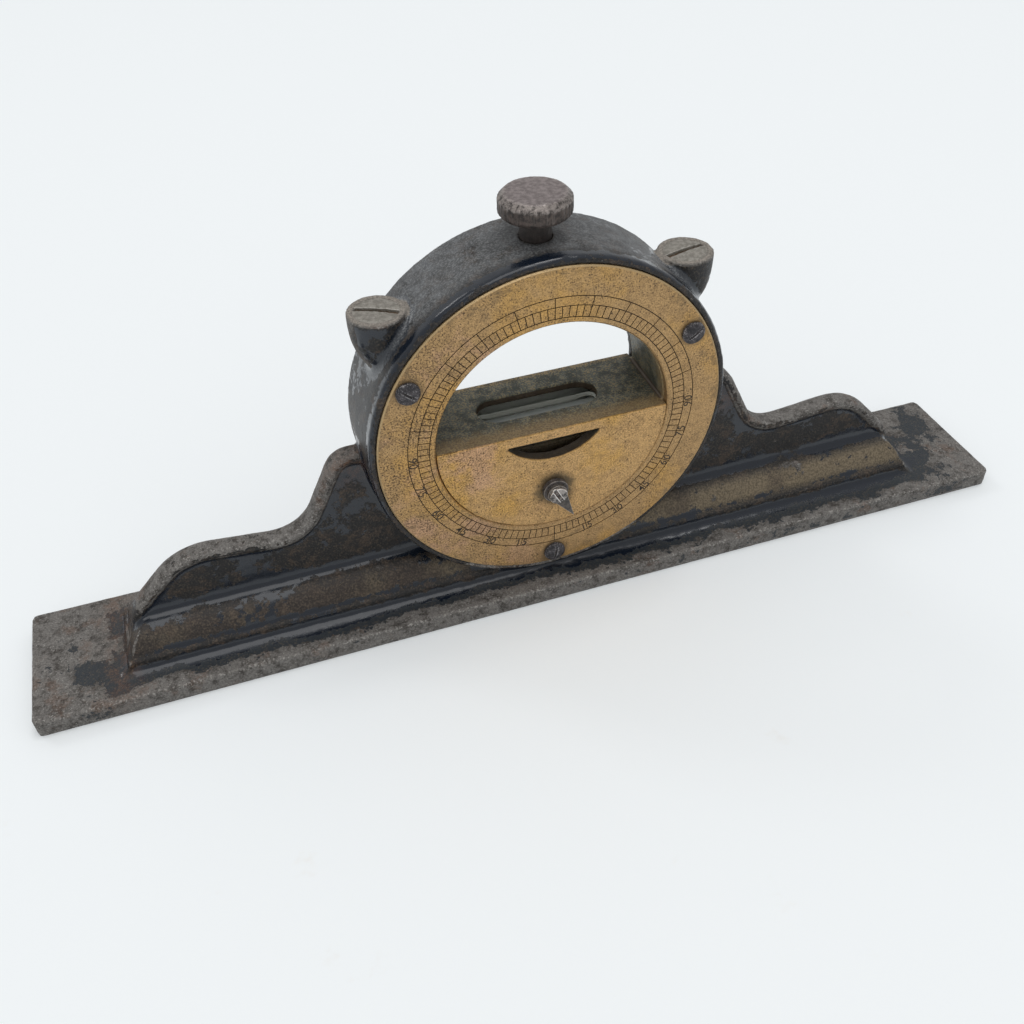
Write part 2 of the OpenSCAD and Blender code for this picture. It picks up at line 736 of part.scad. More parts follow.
module pointer_screw() {
    color([0.5, 0.48, 0.46])
        facing_front(0, pointer_y - pointer_t - seat_gap, -pivot_drop, pointer_swing + 90)
            slotted_screw(pointer_head_r, pointer_head_h, pointer_shank_r,
                          pointer_t + collar_t + 2 * seat_gap + face_t - hole_spare);
}

body_casting();
dial_plate();
dial_screws();
lug_screw_left();
lug_screw_right();
clamp_knob();
clamp_shoe();
level_drum();
back_cover();
cover_screws();
vial_case();
case_cap_left();
case_cap_right();
case_screw_left();
case_screw_right();
vial_glass();
vial_spirit();
bedding_left();
bedding_right();
pointer_collar();
index_pointer();
pointer_screw();
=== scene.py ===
"""Looks of a bench inclinometer: a japanned iron body, an engraved brass dial and a level in a turning drum.

Everything is in metres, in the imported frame: the origin is under the middle of the sole, +X runs along
the sole, the dial faces -Y and +Z is up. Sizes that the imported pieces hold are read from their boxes.
"""

import logging
import math
from dataclasses import dataclass, field
from enum import Enum
from typing import Any, Callable, Sequence

import bpy
import numpy as np
from bpy.types import Material, Mesh, Object
from mathutils import Matrix, Vector

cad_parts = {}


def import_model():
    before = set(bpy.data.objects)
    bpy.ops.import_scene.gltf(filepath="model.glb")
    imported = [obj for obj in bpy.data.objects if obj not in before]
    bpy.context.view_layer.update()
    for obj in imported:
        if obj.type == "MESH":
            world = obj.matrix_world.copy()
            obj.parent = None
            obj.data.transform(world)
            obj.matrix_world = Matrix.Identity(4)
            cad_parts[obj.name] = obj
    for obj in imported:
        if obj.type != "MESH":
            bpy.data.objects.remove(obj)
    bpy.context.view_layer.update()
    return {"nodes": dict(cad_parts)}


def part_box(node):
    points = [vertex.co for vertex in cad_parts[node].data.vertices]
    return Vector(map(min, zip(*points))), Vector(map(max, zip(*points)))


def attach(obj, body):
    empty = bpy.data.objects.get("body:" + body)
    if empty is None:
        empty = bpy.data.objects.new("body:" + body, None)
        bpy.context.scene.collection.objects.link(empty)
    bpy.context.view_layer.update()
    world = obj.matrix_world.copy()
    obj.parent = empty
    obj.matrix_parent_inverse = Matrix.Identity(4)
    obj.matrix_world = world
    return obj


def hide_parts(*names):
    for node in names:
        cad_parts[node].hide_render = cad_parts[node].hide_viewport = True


MM = 0.001
MERGED = 0.002 * MM
LOG = logging.getLogger("inclinometer")
Colour = tuple[float, float, float]
Point = tuple[float, float, float]
Pair = tuple[float, float]
Shares = Callable[[np.ndarray], np.ndarray]


# ------------------------------------------------------------------------------------------ materials
class Wire:
    """A value on its way through a material, which Python's operators work on."""

    def __init__(self, paint: "Paint", socket: bpy.types.NodeSocket) -> None:
        """Keeps the material and the output socket that the value comes from."""
        self.paint = paint
        self.socket = socket

    def __add__(self, other: "Value") -> "Wire":
        """Adds a number."""
        return self.paint.maths("ADD", self, other)

    __radd__ = __add__

    def __sub__(self, other: "Value") -> "Wire":
        """Takes a number away."""
        return self.paint.maths("SUBTRACT", self, other)

    def __rsub__(self, other: "Value") -> "Wire":
        """Takes this away from a number."""
        return self.paint.maths("SUBTRACT", other, self)

    def __mul__(self, other: "Value") -> "Wire":
        """Multiplies by a number."""
        return self.paint.maths("MULTIPLY", self, other)

    __rmul__ = __mul__

    def __abs__(self) -> "Wire":
        """Drops the sign."""
        return self.paint.maths("ABSOLUTE", self)


Value = Wire | float | Sequence[float]


class Paint:
    """Builds one material out of nodes."""

    def __init__(self, name: str) -> None:
        """Starts a material with its own principled shader.

        Args:
            name: The material's name.
        """
        self.material = bpy.data.materials.new(name)
        self.material.use_nodes = True
        self.tree = self.material.node_tree
        self.shader = self.tree.nodes["Principled BSDF"]
        self.place = self.node("ShaderNodeTexCoord", output="Object")
        self.x, self.y, self.z = (
            self.node("ShaderNodeSeparateXYZ", inputs={0: self.place}, output=k) for k in range(3)
        )

    def feed(self, socket: bpy.types.NodeSocket, value: Value) -> None:
        """Links a wire to a socket, or sets the socket to a fixed value.

        Args:
            socket: The input socket.
            value: A wire, a number or a list of numbers.
        """
        if isinstance(value, Wire):
            self.tree.links.new(value.socket, socket)
        elif isinstance(value, (tuple, list)) and len(value) == 3 and socket.type == "RGBA":
            socket.default_value = (*value, 1.0)
        else:
            socket.default_value = value

    def node(
        self,
        kind: str,
        settings: dict[str, Any] | None = None,
        inputs: dict[int | str, Value] | None = None,
        output: int | str = 0,
    ) -> Wire:
        """Adds any node.

        Args:
            kind: The node's type.
            settings: Its properties, set first.
            inputs: The values or links of its sockets, by name or number.
            output: The output socket that is wanted.

        Returns:
            The wire from that output.
        """
        made = self.tree.nodes.new(kind)
        for name, value in (settings or {}).items():
            setattr(made, name, value)
        for name, value in (inputs or {}).items():
            self.feed(made.inputs[name], value)
        return Wire(self, made.outputs[output])

    def maths(self, operation: str, *values: Value) -> Wire:
        """Adds a Math node on one or more values."""
        return self.node("ShaderNodeMath", {"operation": operation}, dict(enumerate(values)))

    def vector(self, operation: str, inputs: dict[int | str, Value], output: int | str = 0) -> Wire:
        """Adds a Vector Math node."""
        return self.node("ShaderNodeVectorMath", {"operation": operation}, inputs, output)

    def clamp(self, value: Value) -> Wire:
        """Keeps a value between 0 and 1."""
        return self.node("ShaderNodeMath", {"operation": "ADD", "use_clamp": True}, {0: value, 1: 0.0})

    def over(self, value: Value, low: float, high: float) -> Wire:
        """Rises smoothly from 0 to 1 as a value goes from low to high, also where high is the smaller one."""
        edges = {"Value": value, "From Min": low, "From Max": high}
        return self.node("ShaderNodeMapRange", {"interpolation_type": "SMOOTHSTEP"}, edges)

    def between(self, value: Value, low: float, high: float, soft: float) -> Wire:
        """Is 1 while a value lies between two others, with edges that reach as far as soft either way."""
        return self.over(value, low - soft, low + soft) * (1 - self.over(value, high - soft, high + soft))

    def stretched(self, by: Point) -> Wire:
        """The object's coordinates, times a factor along each axis."""
        return self.node("ShaderNodeMapping", inputs={"Vector": self.place, "Scale": by})

    def moved(self, seed: float, place: Wire | None = None) -> Wire:
        """The object's coordinates, or other ones, moved by a seed to another part of a pattern."""
        shift = (seed, seed, -seed)
        return self.node("ShaderNodeMapping", inputs={"Vector": place or self.place, "Location": shift})

    def noise(
        self,
        size: float,
        detail: float = 3.0,
        roughness: float = 0.55,
        seed: float = 0.0,
        place: Wire | None = None,
    ) -> Wire:
        """A cloudy pattern between about 0.2 and 0.8.

        Args:
            size: How far apart its lumps are, in metres.
            detail: How many finer layers it has.
            roughness: How strong the finer layers are.
            seed: A number that picks another pattern of the same kind.
            place: Other coordinates than the object's.

        Returns:
            The pattern.
        """
        lumps = {"Vector": self.moved(seed, place), "Scale": 1 / size, "Detail": detail}
        return self.node("ShaderNodeTexNoise", inputs={**lumps, "Roughness": roughness})

    def spots(self, size: float, seed: float = 0.0) -> Wire:
        """The distance to the nearest of many scattered points that lie about a size in metres apart."""
        return self.node("ShaderNodeTexVoronoi", inputs={"Vector": self.moved(seed), "Scale": 1 / size})

    def speckle(self, size: float, seed: float = 0.0) -> Wire:
        """A fine grain that runs all the way from 0 to 1, of a size in metres."""
        return self.over(self.noise(size, 2, 0.6, seed=seed), 0.34, 0.66)

    def attribute(self, name: str) -> Wire:
        """A value that is stored at each point of the mesh."""
        return self.node("ShaderNodeAttribute", {"attribute_name": name}, output="Fac")

    def blend(self, mask: Value, under: Value, top: Value) -> Wire:
        """Lays a colour over another one where a mask is 1."""
        return self.node("ShaderNodeMix", {"data_type": "RGBA"}, {0: mask, 6: under, 7: top}, output=2)

    def shade(self, colour: Value, amount: Value) -> Wire:
        """Multiplies a colour by a number."""
        return self.vector("SCALE", {0: colour, "Scale": amount})

    def radius(self, centre: Point, axes: Point) -> Wire:
        """The distance from an axis through a point, where axes is 0 along that axis and 1 across it."""
        offset = self.vector("SUBTRACT", {0: self.place, 1: centre})
        return self.vector("LENGTH", {0: self.vector("MULTIPLY", {0: offset, 1: axes})}, "Value")

    def finish(self, height: Value | None = None, depth: float = 0.05 * MM, **looks: Value) -> Material:
        """Feeds the shader.

        Args:
            height: A pattern from 0 to 1 for the bump, or None.
            depth: The bump's depth in metres.
            **looks: The shader's sockets by name, with underscores for spaces.

        Returns:
            The material.
        """
        for name, value in looks.items():
            self.feed(self.shader.inputs[name.replace("_", " ")], value)
        if height is not None:
            bump = {"Height": height, "Distance": depth, "Strength": 1.0}
            self.feed(self.shader.inputs["Normal"], self.node("ShaderNodeBump", inputs=bump))
        return self.material


@dataclass(frozen=True)
class JapannedIron:
    """Cast iron with the remains of black japan, bare and brown where hands and benches wore it."""

    japan: Colour = (0.006, 0.010, 0.018)
    dull_japan: Colour = (0.019, 0.018, 0.018)
    brown_japan: Colour = (0.056, 0.041, 0.031)
    olive: Colour = (0.150, 0.118, 0.076)
    # pale grey-blue for the ring's upward faces: dust, and a painted sky reflection
    dusty: Colour = (0.178, 0.184, 0.188)
    iron: Colour = (0.185, 0.174, 0.162)
    dark_iron: Colour = (0.064, 0.057, 0.051)
    pale_iron: Colour = (0.46, 0.44, 0.41)
    rubbed_iron: Colour = (0.300, 0.270, 0.235)
    teal: Colour = (0.025, 0.031, 0.037)
    rust: Colour = (0.150, 0.070, 0.034)
    band: Pair = (7.5 * MM, 14.5 * MM)
    band_x: Pair = (-100 * MM, 20 * MM)
    golden_x: Pair = (-80 * MM, 60 * MM)
    sole_z: float = 4.8 * MM
    coat_edge: Pair = (0.32, 0.35)
    gloss_edge: Pair = (0.80, 0.86)

    def bare_iron(self, p: Paint, ragged: Wire, edge: Wire) -> Wire:
        """Mixes the iron where no japan is left.

        Args:
            p: The material being built.
            ragged: The pattern that the layers share.
            edge: How exposed each point is.

        Returns:
            The colour.
        """
        iron = p.blend(p.over(ragged, 0.34, 0.56), self.dark_iron, self.iron)
        rusty = p.over(p.noise(8 * MM, 6, 0.7, seed=12.0), 0.54, 0.66)
        iron = p.blend(rusty * 0.3, iron, self.rust)
        iron = p.shade(iron, 0.74 + 0.46 * p.speckle(0.42 * MM, seed=1.3))
        specks = p.over(p.noise(0.5 * MM, 3, 0.6, seed=14.0) + edge * 0.08, 0.62, 0.68)
        return p.blend(specks * 0.5, iron, self.pale_iron)

    def old_japan(self, p: Paint, ragged: Wire, grains: Wire) -> Wire:
        """Mixes the dull japan: brown in patches, golden on the foot's band and bluish on the sole.

        Args:
            p: The material being built.
            ragged: The pattern that the layers share.
            grains: The fine grain that they share.

        Returns:
            The colour.
        """
        browned = p.over(p.noise(4 * MM, 7, 0.75, seed=5.0), 0.48, 0.64)
        coat = p.blend(browned, self.dull_japan, self.brown_japan)
        low, high = self.band
        in_band = p.over(p.z, low, low + 2.5 * MM) * p.over(p.z, high, high - 2 * MM)
        in_band *= 0.5 + 0.5 * p.over(p.x, *self.band_x)
        golden = p.noise(10 * MM, 3, 0.5, seed=9.0) + p.over(p.x, *self.golden_x) * 0.34
        golden = p.over(golden + (ragged - 0.5) * 0.15, 0.50, 0.86)
        coat = p.blend(in_band, coat, p.blend(golden, self.brown_japan, self.olive))
        coat = p.shade(coat, 0.62 + 0.76 * grains)
        coat = p.blend(p.over(p.z, self.sole_z + 1.0 * MM, self.sole_z) * 0.9, coat, self.teal)
        return p.blend(p.over(grains + ragged, 1.30, 1.50) * 0.3, coat, self.olive)

    def material(self) -> Material:
        """Builds the finish.

        Returns:
            The material.
        """
        p = Paint("japanned_iron")
        names = ("edge", "hollow", "bare", "dust", "rubbed", "rusted")
        edge, hollow, bare, dust, rubbed, rusted = (p.attribute(name) for name in names)
        patches = p.noise(13 * MM, 6, 0.68)
        ragged = p.noise(2.8 * MM, 8, 0.75, seed=3.1)
        grains = p.speckle(0.45 * MM, seed=7.7)

        worn = p.over(edge, 0.3, 0.9)
        cling = hollow * 1.1 + (1 - bare) * 0.64 + (patches - 0.5) * 1.7 + (ragged - 0.5) * 1.3 - worn * 0.5
        coated, glossy = p.over(cling, *self.coat_edge), p.over(cling, *self.gloss_edge)
        # dust and a painted sky reflection on the upward faces of the ring's top, lighter and less glossy
        dust_and_sky_sheen = p.over(ragged + patches * 0.8, 0.62, 1.10) * 0.6 + p.over(grains, 0.4, 1.0) * 0.5
        dust_and_sky_sheen = p.clamp(dust * dust_and_sky_sheen)

        coat = p.blend(glossy, self.old_japan(p, ragged, grains), self.japan)
        coat = p.blend(dust_and_sky_sheen, coat, self.dusty)
        colour = p.blend(coated, self.bare_iron(p, ragged, edge), coat)
        for mask, metal in (
            (rubbed * p.over(ragged, 0.30, 0.46), p.shade(self.rubbed_iron, 0.6 + 0.6 * grains)),
            (rusted * p.over(ragged, 0.40, 0.62), p.shade(self.rust, 0.6 + 0.9 * grains)),
        ):
            colour = p.blend(mask, colour, metal)

        relief = coated * 0.40 + glossy * 0.3 + (1 - glossy) * grains * 0.35 + ragged * 0.5
        dull = (1 - coated) * 0.25 + (1 - glossy) * (0.20 + 0.10 * grains) + dust_and_sky_sheen * 0.15
        return p.finish(
            height=relief,
            depth=0.12 * MM,
            Base_Color=colour,
            Roughness=0.20 + dull,
            Metallic=(1 - coated) * 0.3,
            Specular_IOR_Level=0.32,
            Coat_Weight=glossy * (1 - dust_and_sky_sheen) * 0.5,
            Coat_Roughness=0.16,
        )


@dataclass(frozen=True)
class AgedBrass:
    """Old brass: tan, densely pitted, with golden and pinkish patches and a few browner marks."""

    name: str
    metal: Colour = (0.450, 0.287, 0.132)
    gold: Colour = (0.515, 0.308, 0.105)
    pink: Colour = (0.515, 0.315, 0.200)
    brown: Colour = (0.235, 0.148, 0.074)
    pit: Colour = (0.055, 0.034, 0.019)
    pitting: float = 1.0
    tarnish: float = 0.0
    shine: float = 0.36
    metallic: float = 0.75
    pink_x: Pair = (8 * MM, -20 * MM)
    crowded_x: Pair = (4 * MM, -34 * MM)
    # a span along Y and its pale colour: a painted reflection, not metallic, that lightens a shaded inner
    # wall
    dusty: Pair | None = None
    dust: Colour = (0.60, 0.62, 0.56)
    engraved: "Engraving | None" = None

    def colour(self, p: Paint) -> tuple[Wire, Wire]:
        """Mixes the brass and its pits.

        Args:
            p: The material being built.

        Returns:
            The colour, and the pits' mask.
        """
        wide, fine = p.noise(16 * MM, 4, 0.6), p.noise(1.6 * MM, 5, 0.68, seed=4.0)
        colour = p.blend(p.over(wide, 0.46, 0.66), self.metal, self.gold)
        pinkish = p.over(p.noise(11 * MM, 4, 0.6, seed=8.0), 0.50, 0.64) * p.over(p.x, *self.pink_x)
        colour = p.blend(pinkish * 0.7, colour, self.pink)
        stained = p.over(p.noise(5 * MM, 6, 0.72, seed=15.0), 0.58, 0.72) * (0.45 + self.tarnish)
        colour = p.blend(p.clamp(stained), colour, self.brown)
        colour = p.blend(p.over(fine, 0.56, 0.34) * 0.42, colour, self.brown)
        colour = p.shade(colour, 0.78 + 0.44 * p.speckle(0.38 * MM, seed=17.0))
        crowd = p.over(p.noise(7 * MM, 4, 0.65, seed=21.0), 0.36, 0.64) + p.over(p.x, *self.crowded_x) * 0.8
        pits = p.over(p.noise(0.42 * MM, 4, 0.66, seed=2.0) + crowd * 0.05, 0.59, 0.65) * self.pitting
        specks = p.over(p.spots(1.6 * MM, seed=6.0) + (fine - 0.5) * 0.25, 0.15, 0.07) * self.pitting
        pitted = p.clamp(pits * 0.75 + specks * 0.8)
        return p.blend(pitted, colour, self.pit), pitted

    def material(self) -> Material:
        """Builds the finish.

        Returns:
            The material.
        """
        p = Paint(self.name)
        colour, pitted = self.colour(p)
        if self.engraved:
            colour = self.engraved.fill(p, colour)
        bright = self.metallic - 0.5 * pitted
        # painted reflection: inside the span along Y the brass becomes a pale, non-metallic grey-green
        if self.dusty:
            outside_sheen = 1 - p.between(p.y, *self.dusty, 0.05 * MM)
            colour = p.blend(outside_sheen, self.dust, colour)
            bright = bright * outside_sheen
        scuffs = p.noise(1.1 * MM, 4, 0.65, seed=9.0)
        return p.finish(
            height=scuffs * 0.5 - pitted * 0.6,
            depth=0.05 * MM,
            Base_Color=colour,
            Roughness=self.shine + 0.18 * scuffs + 0.25 * pitted,
            Metallic=p.clamp(bright),
        )


@dataclass(frozen=True)
class Engraving:
    """Where the dial's cut lines lie, and how the dial's margins have darkened."""

    axis: Point
    face_y: float
    inner: float
    outer: float
    rim: float
    screws: tuple[Point, ...] = ()
    bevel: float = 0.3 * MM
    beside: float = 0.3 * MM
    cut_depth: Pair = (0.02 * MM, 0.05 * MM)
    handled_r: float = 35.5 * MM
    round_screw: Pair = (4.4 * MM, 2.6 * MM)
    dirt: Colour = (0.034, 0.022, 0.013)
    margin: Colour = (0.185, 0.128, 0.070)
    # the rim's bevel colour: rubbed wear and a painted edge highlight
    rubbed: Colour = (0.50, 0.36, 0.19)

    def fill(self, p: Paint, colour: Wire) -> Wire:
        """Darkens the cut lines, the margins and the rings round the screws, and paints the rim's bevel
        lighter, as rubbed wear and a painted edge highlight.

        Args:
            p: The material being built.
            colour: The brass.

        Returns:
            The colour with the lines filled.
        """
        out = p.radius(self.axis, (1, 0, 1))
        scale = p.between(out, self.inner - self.beside, self.outer + self.beside, 0.05 * MM)
        cut = p.over(p.y - self.face_y, *self.cut_depth)
        cloud = p.noise(3.5 * MM, 6, 0.7, seed=31.0)
        handled = p.over(cloud + p.over(out, self.handled_r, self.rim) * 0.10, 0.58, 0.72)
        colour = p.blend(handled * 0.6, colour, self.margin)
        for screw in self.screws:
            near = p.radius(screw, (1, 0, 1)) - (cloud - 0.5) * 2.4 * MM
            colour = p.blend(p.over(near, *self.round_screw) * 0.75, colour, self.margin)
        # painted edge highlight, with rubbed wear: the rim's bevel is painted lighter
        bright = p.over(out, self.rim - 1.4 * self.bevel, self.rim - 0.7 * self.bevel)
        colour = p.blend(bright, colour, self.rubbed)
        return p.blend(scale * cut, colour, self.dirt)


@dataclass(frozen=True)
class DrumBrass(AgedBrass):
    """The drum's brass: bright on its face, grey-green and golden-speckled on its level plate, with a painted
    reflection along the plate's front edge and painted shade in its slot and inside.
    """

    face_y: float = 0.0
    back_y: float = 0.0
    plate_z: float = 0.0
    pivot: Point = (0.0, 0.0, 0.0)
    slot_edge: Pair = (4.7 * MM, 5.0 * MM)
    slot_drop: Pair = (0.25 * MM, 0.45 * MM)
    plate_drop: Pair = (0.6 * MM, 0.2 * MM)
    deep_drop: Pair = (3.0 * MM, 5.0 * MM)
    front_band: Pair = (6.5 * MM, 2.0 * MM)
    back_band: Pair = (-2.2 * MM, -0.6 * MM)
    face_depth: Pair = (0.30 * MM, 0.50 * MM)
    halo_r: Pair = (6.4 * MM, 3.2 * MM)
    green: Colour = (0.052, 0.063, 0.051)
    grey: Colour = (0.150, 0.166, 0.140)
    sheen: Colour = (0.390, 0.280, 0.130)
    halo: Colour = (0.070, 0.058, 0.038)

    def aged(self, p: Paint, flecks: Wire, streaks: Wire) -> Wire:
        """Mixes the brass of the level plate, its slot and all else that lies behind the face, with painted
        shade in the slot, in hollows and deep inside.

        Args:
            p: The material being built.
            flecks: The fine grain that the layers share.
            streaks: The pattern that they share.

        Returns:
            The colour.
        """
        drop = self.plate_z - p.z
        aged = p.blend(p.over(streaks, 0.40, 0.60), self.green, self.grey)
        aged = p.blend(p.over(flecks + (streaks - 0.5) * 2, 0.62, 1.0) * 0.6, aged, self.sheen)
        aged = p.blend(p.over(flecks, 0.45, 0.0) * 0.6, aged, self.pit)
        # painted reflection: a golden band along the plate's front edge; the golden flecks along its back
        # edge are the brass's own
        front_band = p.over(p.y - self.face_y + (streaks - 0.5) * 6 * MM, *self.front_band)
        back_band = p.over(p.y - self.back_y + (streaks - 0.5) * 2 * MM, *self.back_band)
        reflection_and_flecks = p.clamp(front_band * 0.75 + back_band * flecks) * p.over(drop, *self.plate_drop)
        aged = p.blend(reflection_and_flecks, aged, p.blend(flecks, self.brown, self.sheen))
        # painted shade: the slot's walls and the hollows take the pit colour
        slot_shade = (1 - p.over(abs(p.y), *self.slot_edge)) * p.over(drop, *self.slot_drop)
        dark = p.clamp(p.over(p.attribute("hollow"), 0.15, 0.7) + slot_shade)
        aged = p.blend(dark * 0.85, aged, self.pit)
        # painted shade: deeper than the plate, the inside darkens to the pit colour
        return p.blend(p.over(drop, *self.deep_drop) * 0.8, aged, self.pit)

    def material(self) -> Material:
        """Builds the finish.

        Returns:
            The material.
        """
        p = Paint(self.name)
        colour, pitted = self.colour(p)
        flecks = p.speckle(0.42 * MM, seed=40.0)
        streaks = p.noise(3.5 * MM, 7, 0.72, seed=41.0)
        behind = p.over(p.y - self.face_y, *self.face_depth)
        stained = p.over(p.radius(self.pivot, (1, 0, 1)) - (streaks - 0.5) * 5 * MM, *self.halo_r)
        colour = p.blend(stained * 0.85, colour, self.halo)
        colour = p.blend(behind, colour, self.aged(p, flecks, streaks))
        # painted edge highlight: lighter gold along the face's rounded edges
        painted_edge_highlight = p.over(p.attribute("edge"), 0.35, 0.9)
        colour = p.blend(painted_edge_highlight * (1 - behind) * 0.65, colour, self.gold)
        return p.finish(
            height=flecks * 0.5 - pitted * 0.5,
            depth=0.05 * MM,
            Base_Color=colour,
            Roughness=self.shine + 0.2 * flecks + 0.2 * pitted,
            Metallic=0.7 - 0.35 * behind,
        )


@dataclass(frozen=True)
class Steel:
    """Steel fittings: a dark skin that is rubbed bright along the edges, with rust in the corners."""

    name: str
    skin: Colour = (0.050, 0.045, 0.043)
    mottle: Colour = (0.105, 0.088, 0.082)
    bright: Colour = (0.42, 0.385, 0.35)
    rust: Colour = (0.13, 0.062, 0.03)
    wear: float = 0.7
    seep: float = 0.0
    grain: float = 1.2 * MM

    def material(self) -> Material:
        """Builds the finish.

        Returns:
            The material.
        """
        p = Paint(self.name)
        edge, hollow = p.attribute("edge"), p.attribute("hollow")
        mottle = p.noise(self.grain, 5, 0.68)
        fine = p.noise(0.3 * MM, 3, 0.6, seed=3.0)
        colour = p.blend(p.over(mottle, 0.38, 0.62), self.skin, self.mottle)
        rubbed = p.over(edge + (mottle - 0.5) * 1.1, 0.28, 0.62) * self.wear
        colour = p.blend(rubbed, colour, self.bright)
        seeped = p.over(hollow + (mottle - 0.5) * 0.8, 0.35 - self.seep, 0.8 - self.seep)
        colour = p.blend(seeped * (0.6 + self.seep), colour, self.rust)
        colour = p.blend(p.over(fine, 0.60, 0.70) * 0.35, colour, self.bright)
        colour = p.blend(p.over(fine, 0.40, 0.30) * 0.55, colour, self.skin)
        return p.finish(
            height=mottle * 0.6 + fine * 0.4,
            depth=0.06 * MM,
            Base_Color=colour,
            Roughness=0.52 - 0.16 * rubbed + 0.1 * fine,
            Metallic=0.25 + 0.45 * rubbed,
        )


@dataclass(frozen=True)
class KnobSteel:
    """The thumb screw's steel: a mauve-grey top, a pale worn edge, a brown ribbed rim and a neck darkened by
    grease and painted shadow.
    """

    radius: float
    under: float
    top: float
    bevel: float
    browns: tuple[Colour, Colour] = ((0.030, 0.024, 0.021), (0.095, 0.072, 0.062))
    mauves: tuple[Colour, Colour] = ((0.150, 0.125, 0.120), (0.275, 0.235, 0.228))
    face_drop: Pair = (0.25 * MM, 0.08 * MM)
    rim_rise: Pair = (0.3 * MM, 0.8 * MM)
    gap_rise: Pair = (0.2 * MM, -0.1 * MM)
    streak: Colour = (0.20, 0.17, 0.15)
    bright: Colour = (0.37, 0.33, 0.305)
    gap: Colour = (0.030, 0.025, 0.023)
    pit: Colour = (0.035, 0.028, 0.026)

    def material(self) -> Material:
        """Builds the finish.

        Returns:
            The material.
        """
        p = Paint("thumb_screw_steel")
        mottle, fine = p.noise(1.1 * MM, 5, 0.68), p.noise(0.28 * MM, 3, 0.6, seed=3.0)
        upright = p.noise(0.8 * MM, 3, 0.6, seed=5.0, place=p.stretched((1, 1, 0.12)))
        out, drop, rise = p.radius((0, 0, 0), (1, 1, 0)), self.top - p.z, p.z - self.under
        rim = p.blend(p.over(mottle, 0.38, 0.62), *self.browns)
        rim = p.blend(p.over(upright, 0.52, 0.66) * 0.35, rim, self.streak)
        face = p.blend(p.over(mottle, 0.34, 0.66), *self.mauves)
        colour = p.blend(p.over(drop, *self.face_drop), rim, face)
        reach = out - drop + (mottle - 0.5) * 1.6 * MM
        worn = p.over(reach, self.radius - 1.6 * self.bevel, self.radius - self.bevel)
        worn *= p.over(drop, 1.9 * self.bevel, 1.1 * self.bevel) * p.over(rise, *self.rim_rise)
        worn *= p.over(mottle + fine * 0.5, 0.56, 0.86)
        colour = p.blend(worn * 0.68, colour, self.bright)
        # grease, and painted shadow under the knob: the neck below its underside is darkened
        colour = p.blend(p.over(rise, *self.gap_rise) * 0.7, colour, self.gap)
        colour = p.blend(p.over(fine, 0.42, 0.30) * 0.5, colour, self.pit)
        return p.finish(
            height=mottle * 0.6 + fine * 0.5,
            depth=0.07 * MM,
            Base_Color=colour,
            Roughness=0.50 - 0.12 * worn + 0.1 * fine,
            Metallic=0.3 + 0.3 * worn,
        )


@dataclass(frozen=True)
class Clear:
    """A clear stuff, such as glass or spirit, that light goes through."""

    name: str
    tint: Colour
    bend: float
    roughness: float
    clear: float = 0.96

    def material(self) -> Material:
        """Builds the finish.

        Returns:
            The material.
        """
        p = Paint(self.name)
        smear = p.noise(2.0 * MM, 4, 0.6)
        return p.finish(
            height=smear,
            depth=0.004 * MM,
            Base_Color=p.blend(p.over(smear, 0.3, 0.7) * 0.3, self.tint, tuple(0.8 * c for c in self.tint)),
            Roughness=self.roughness + 0.04 * smear,
            Transmission_Weight=self.clear,
            IOR=self.bend,
        )


@dataclass(frozen=True)
class Plaster:
    """Matt plaster that has yellowed."""

    fresh: Colour = (0.58, 0.54, 0.44)
    aged: Colour = (0.38, 0.33, 0.24)

    def material(self) -> Material:
        """Builds the finish.

        Returns:
            The material.
        """
        p = Paint("plaster")
        lumps = p.noise(0.9 * MM, 5, 0.65)
        return p.finish(
            height=lumps, depth=0.1 * MM, Base_Color=p.blend(lumps, self.fresh, self.aged), Roughness=0.85
        )


@dataclass(frozen=True)
class Dirt:
    """The dark dirt that fills stamped figures."""

    dark: Colour = (0.030, 0.021, 0.014)
    light: Colour = (0.085, 0.058, 0.034)

    def material(self) -> Material:
        """Builds the finish.

        Returns:
            The material.
        """
        p = Paint("figure_dirt")
        grains = p.noise(0.35 * MM, 3, 0.6)
        colour = p.blend(p.over(grains, 0.50, 0.66), self.dark, self.light)
        return p.finish(Base_Color=colour, Roughness=0.8)


# ------------------------------------------------------------------------------------------ the bench
class Axis(Enum):
    """Which way a turned piece looks."""

    UP = Matrix.Identity(4)
    FRONT = Matrix.Rotation(math.radians(90), 4, "X")
    BACK = Matrix.Rotation(math.radians(-90), 4, "X")


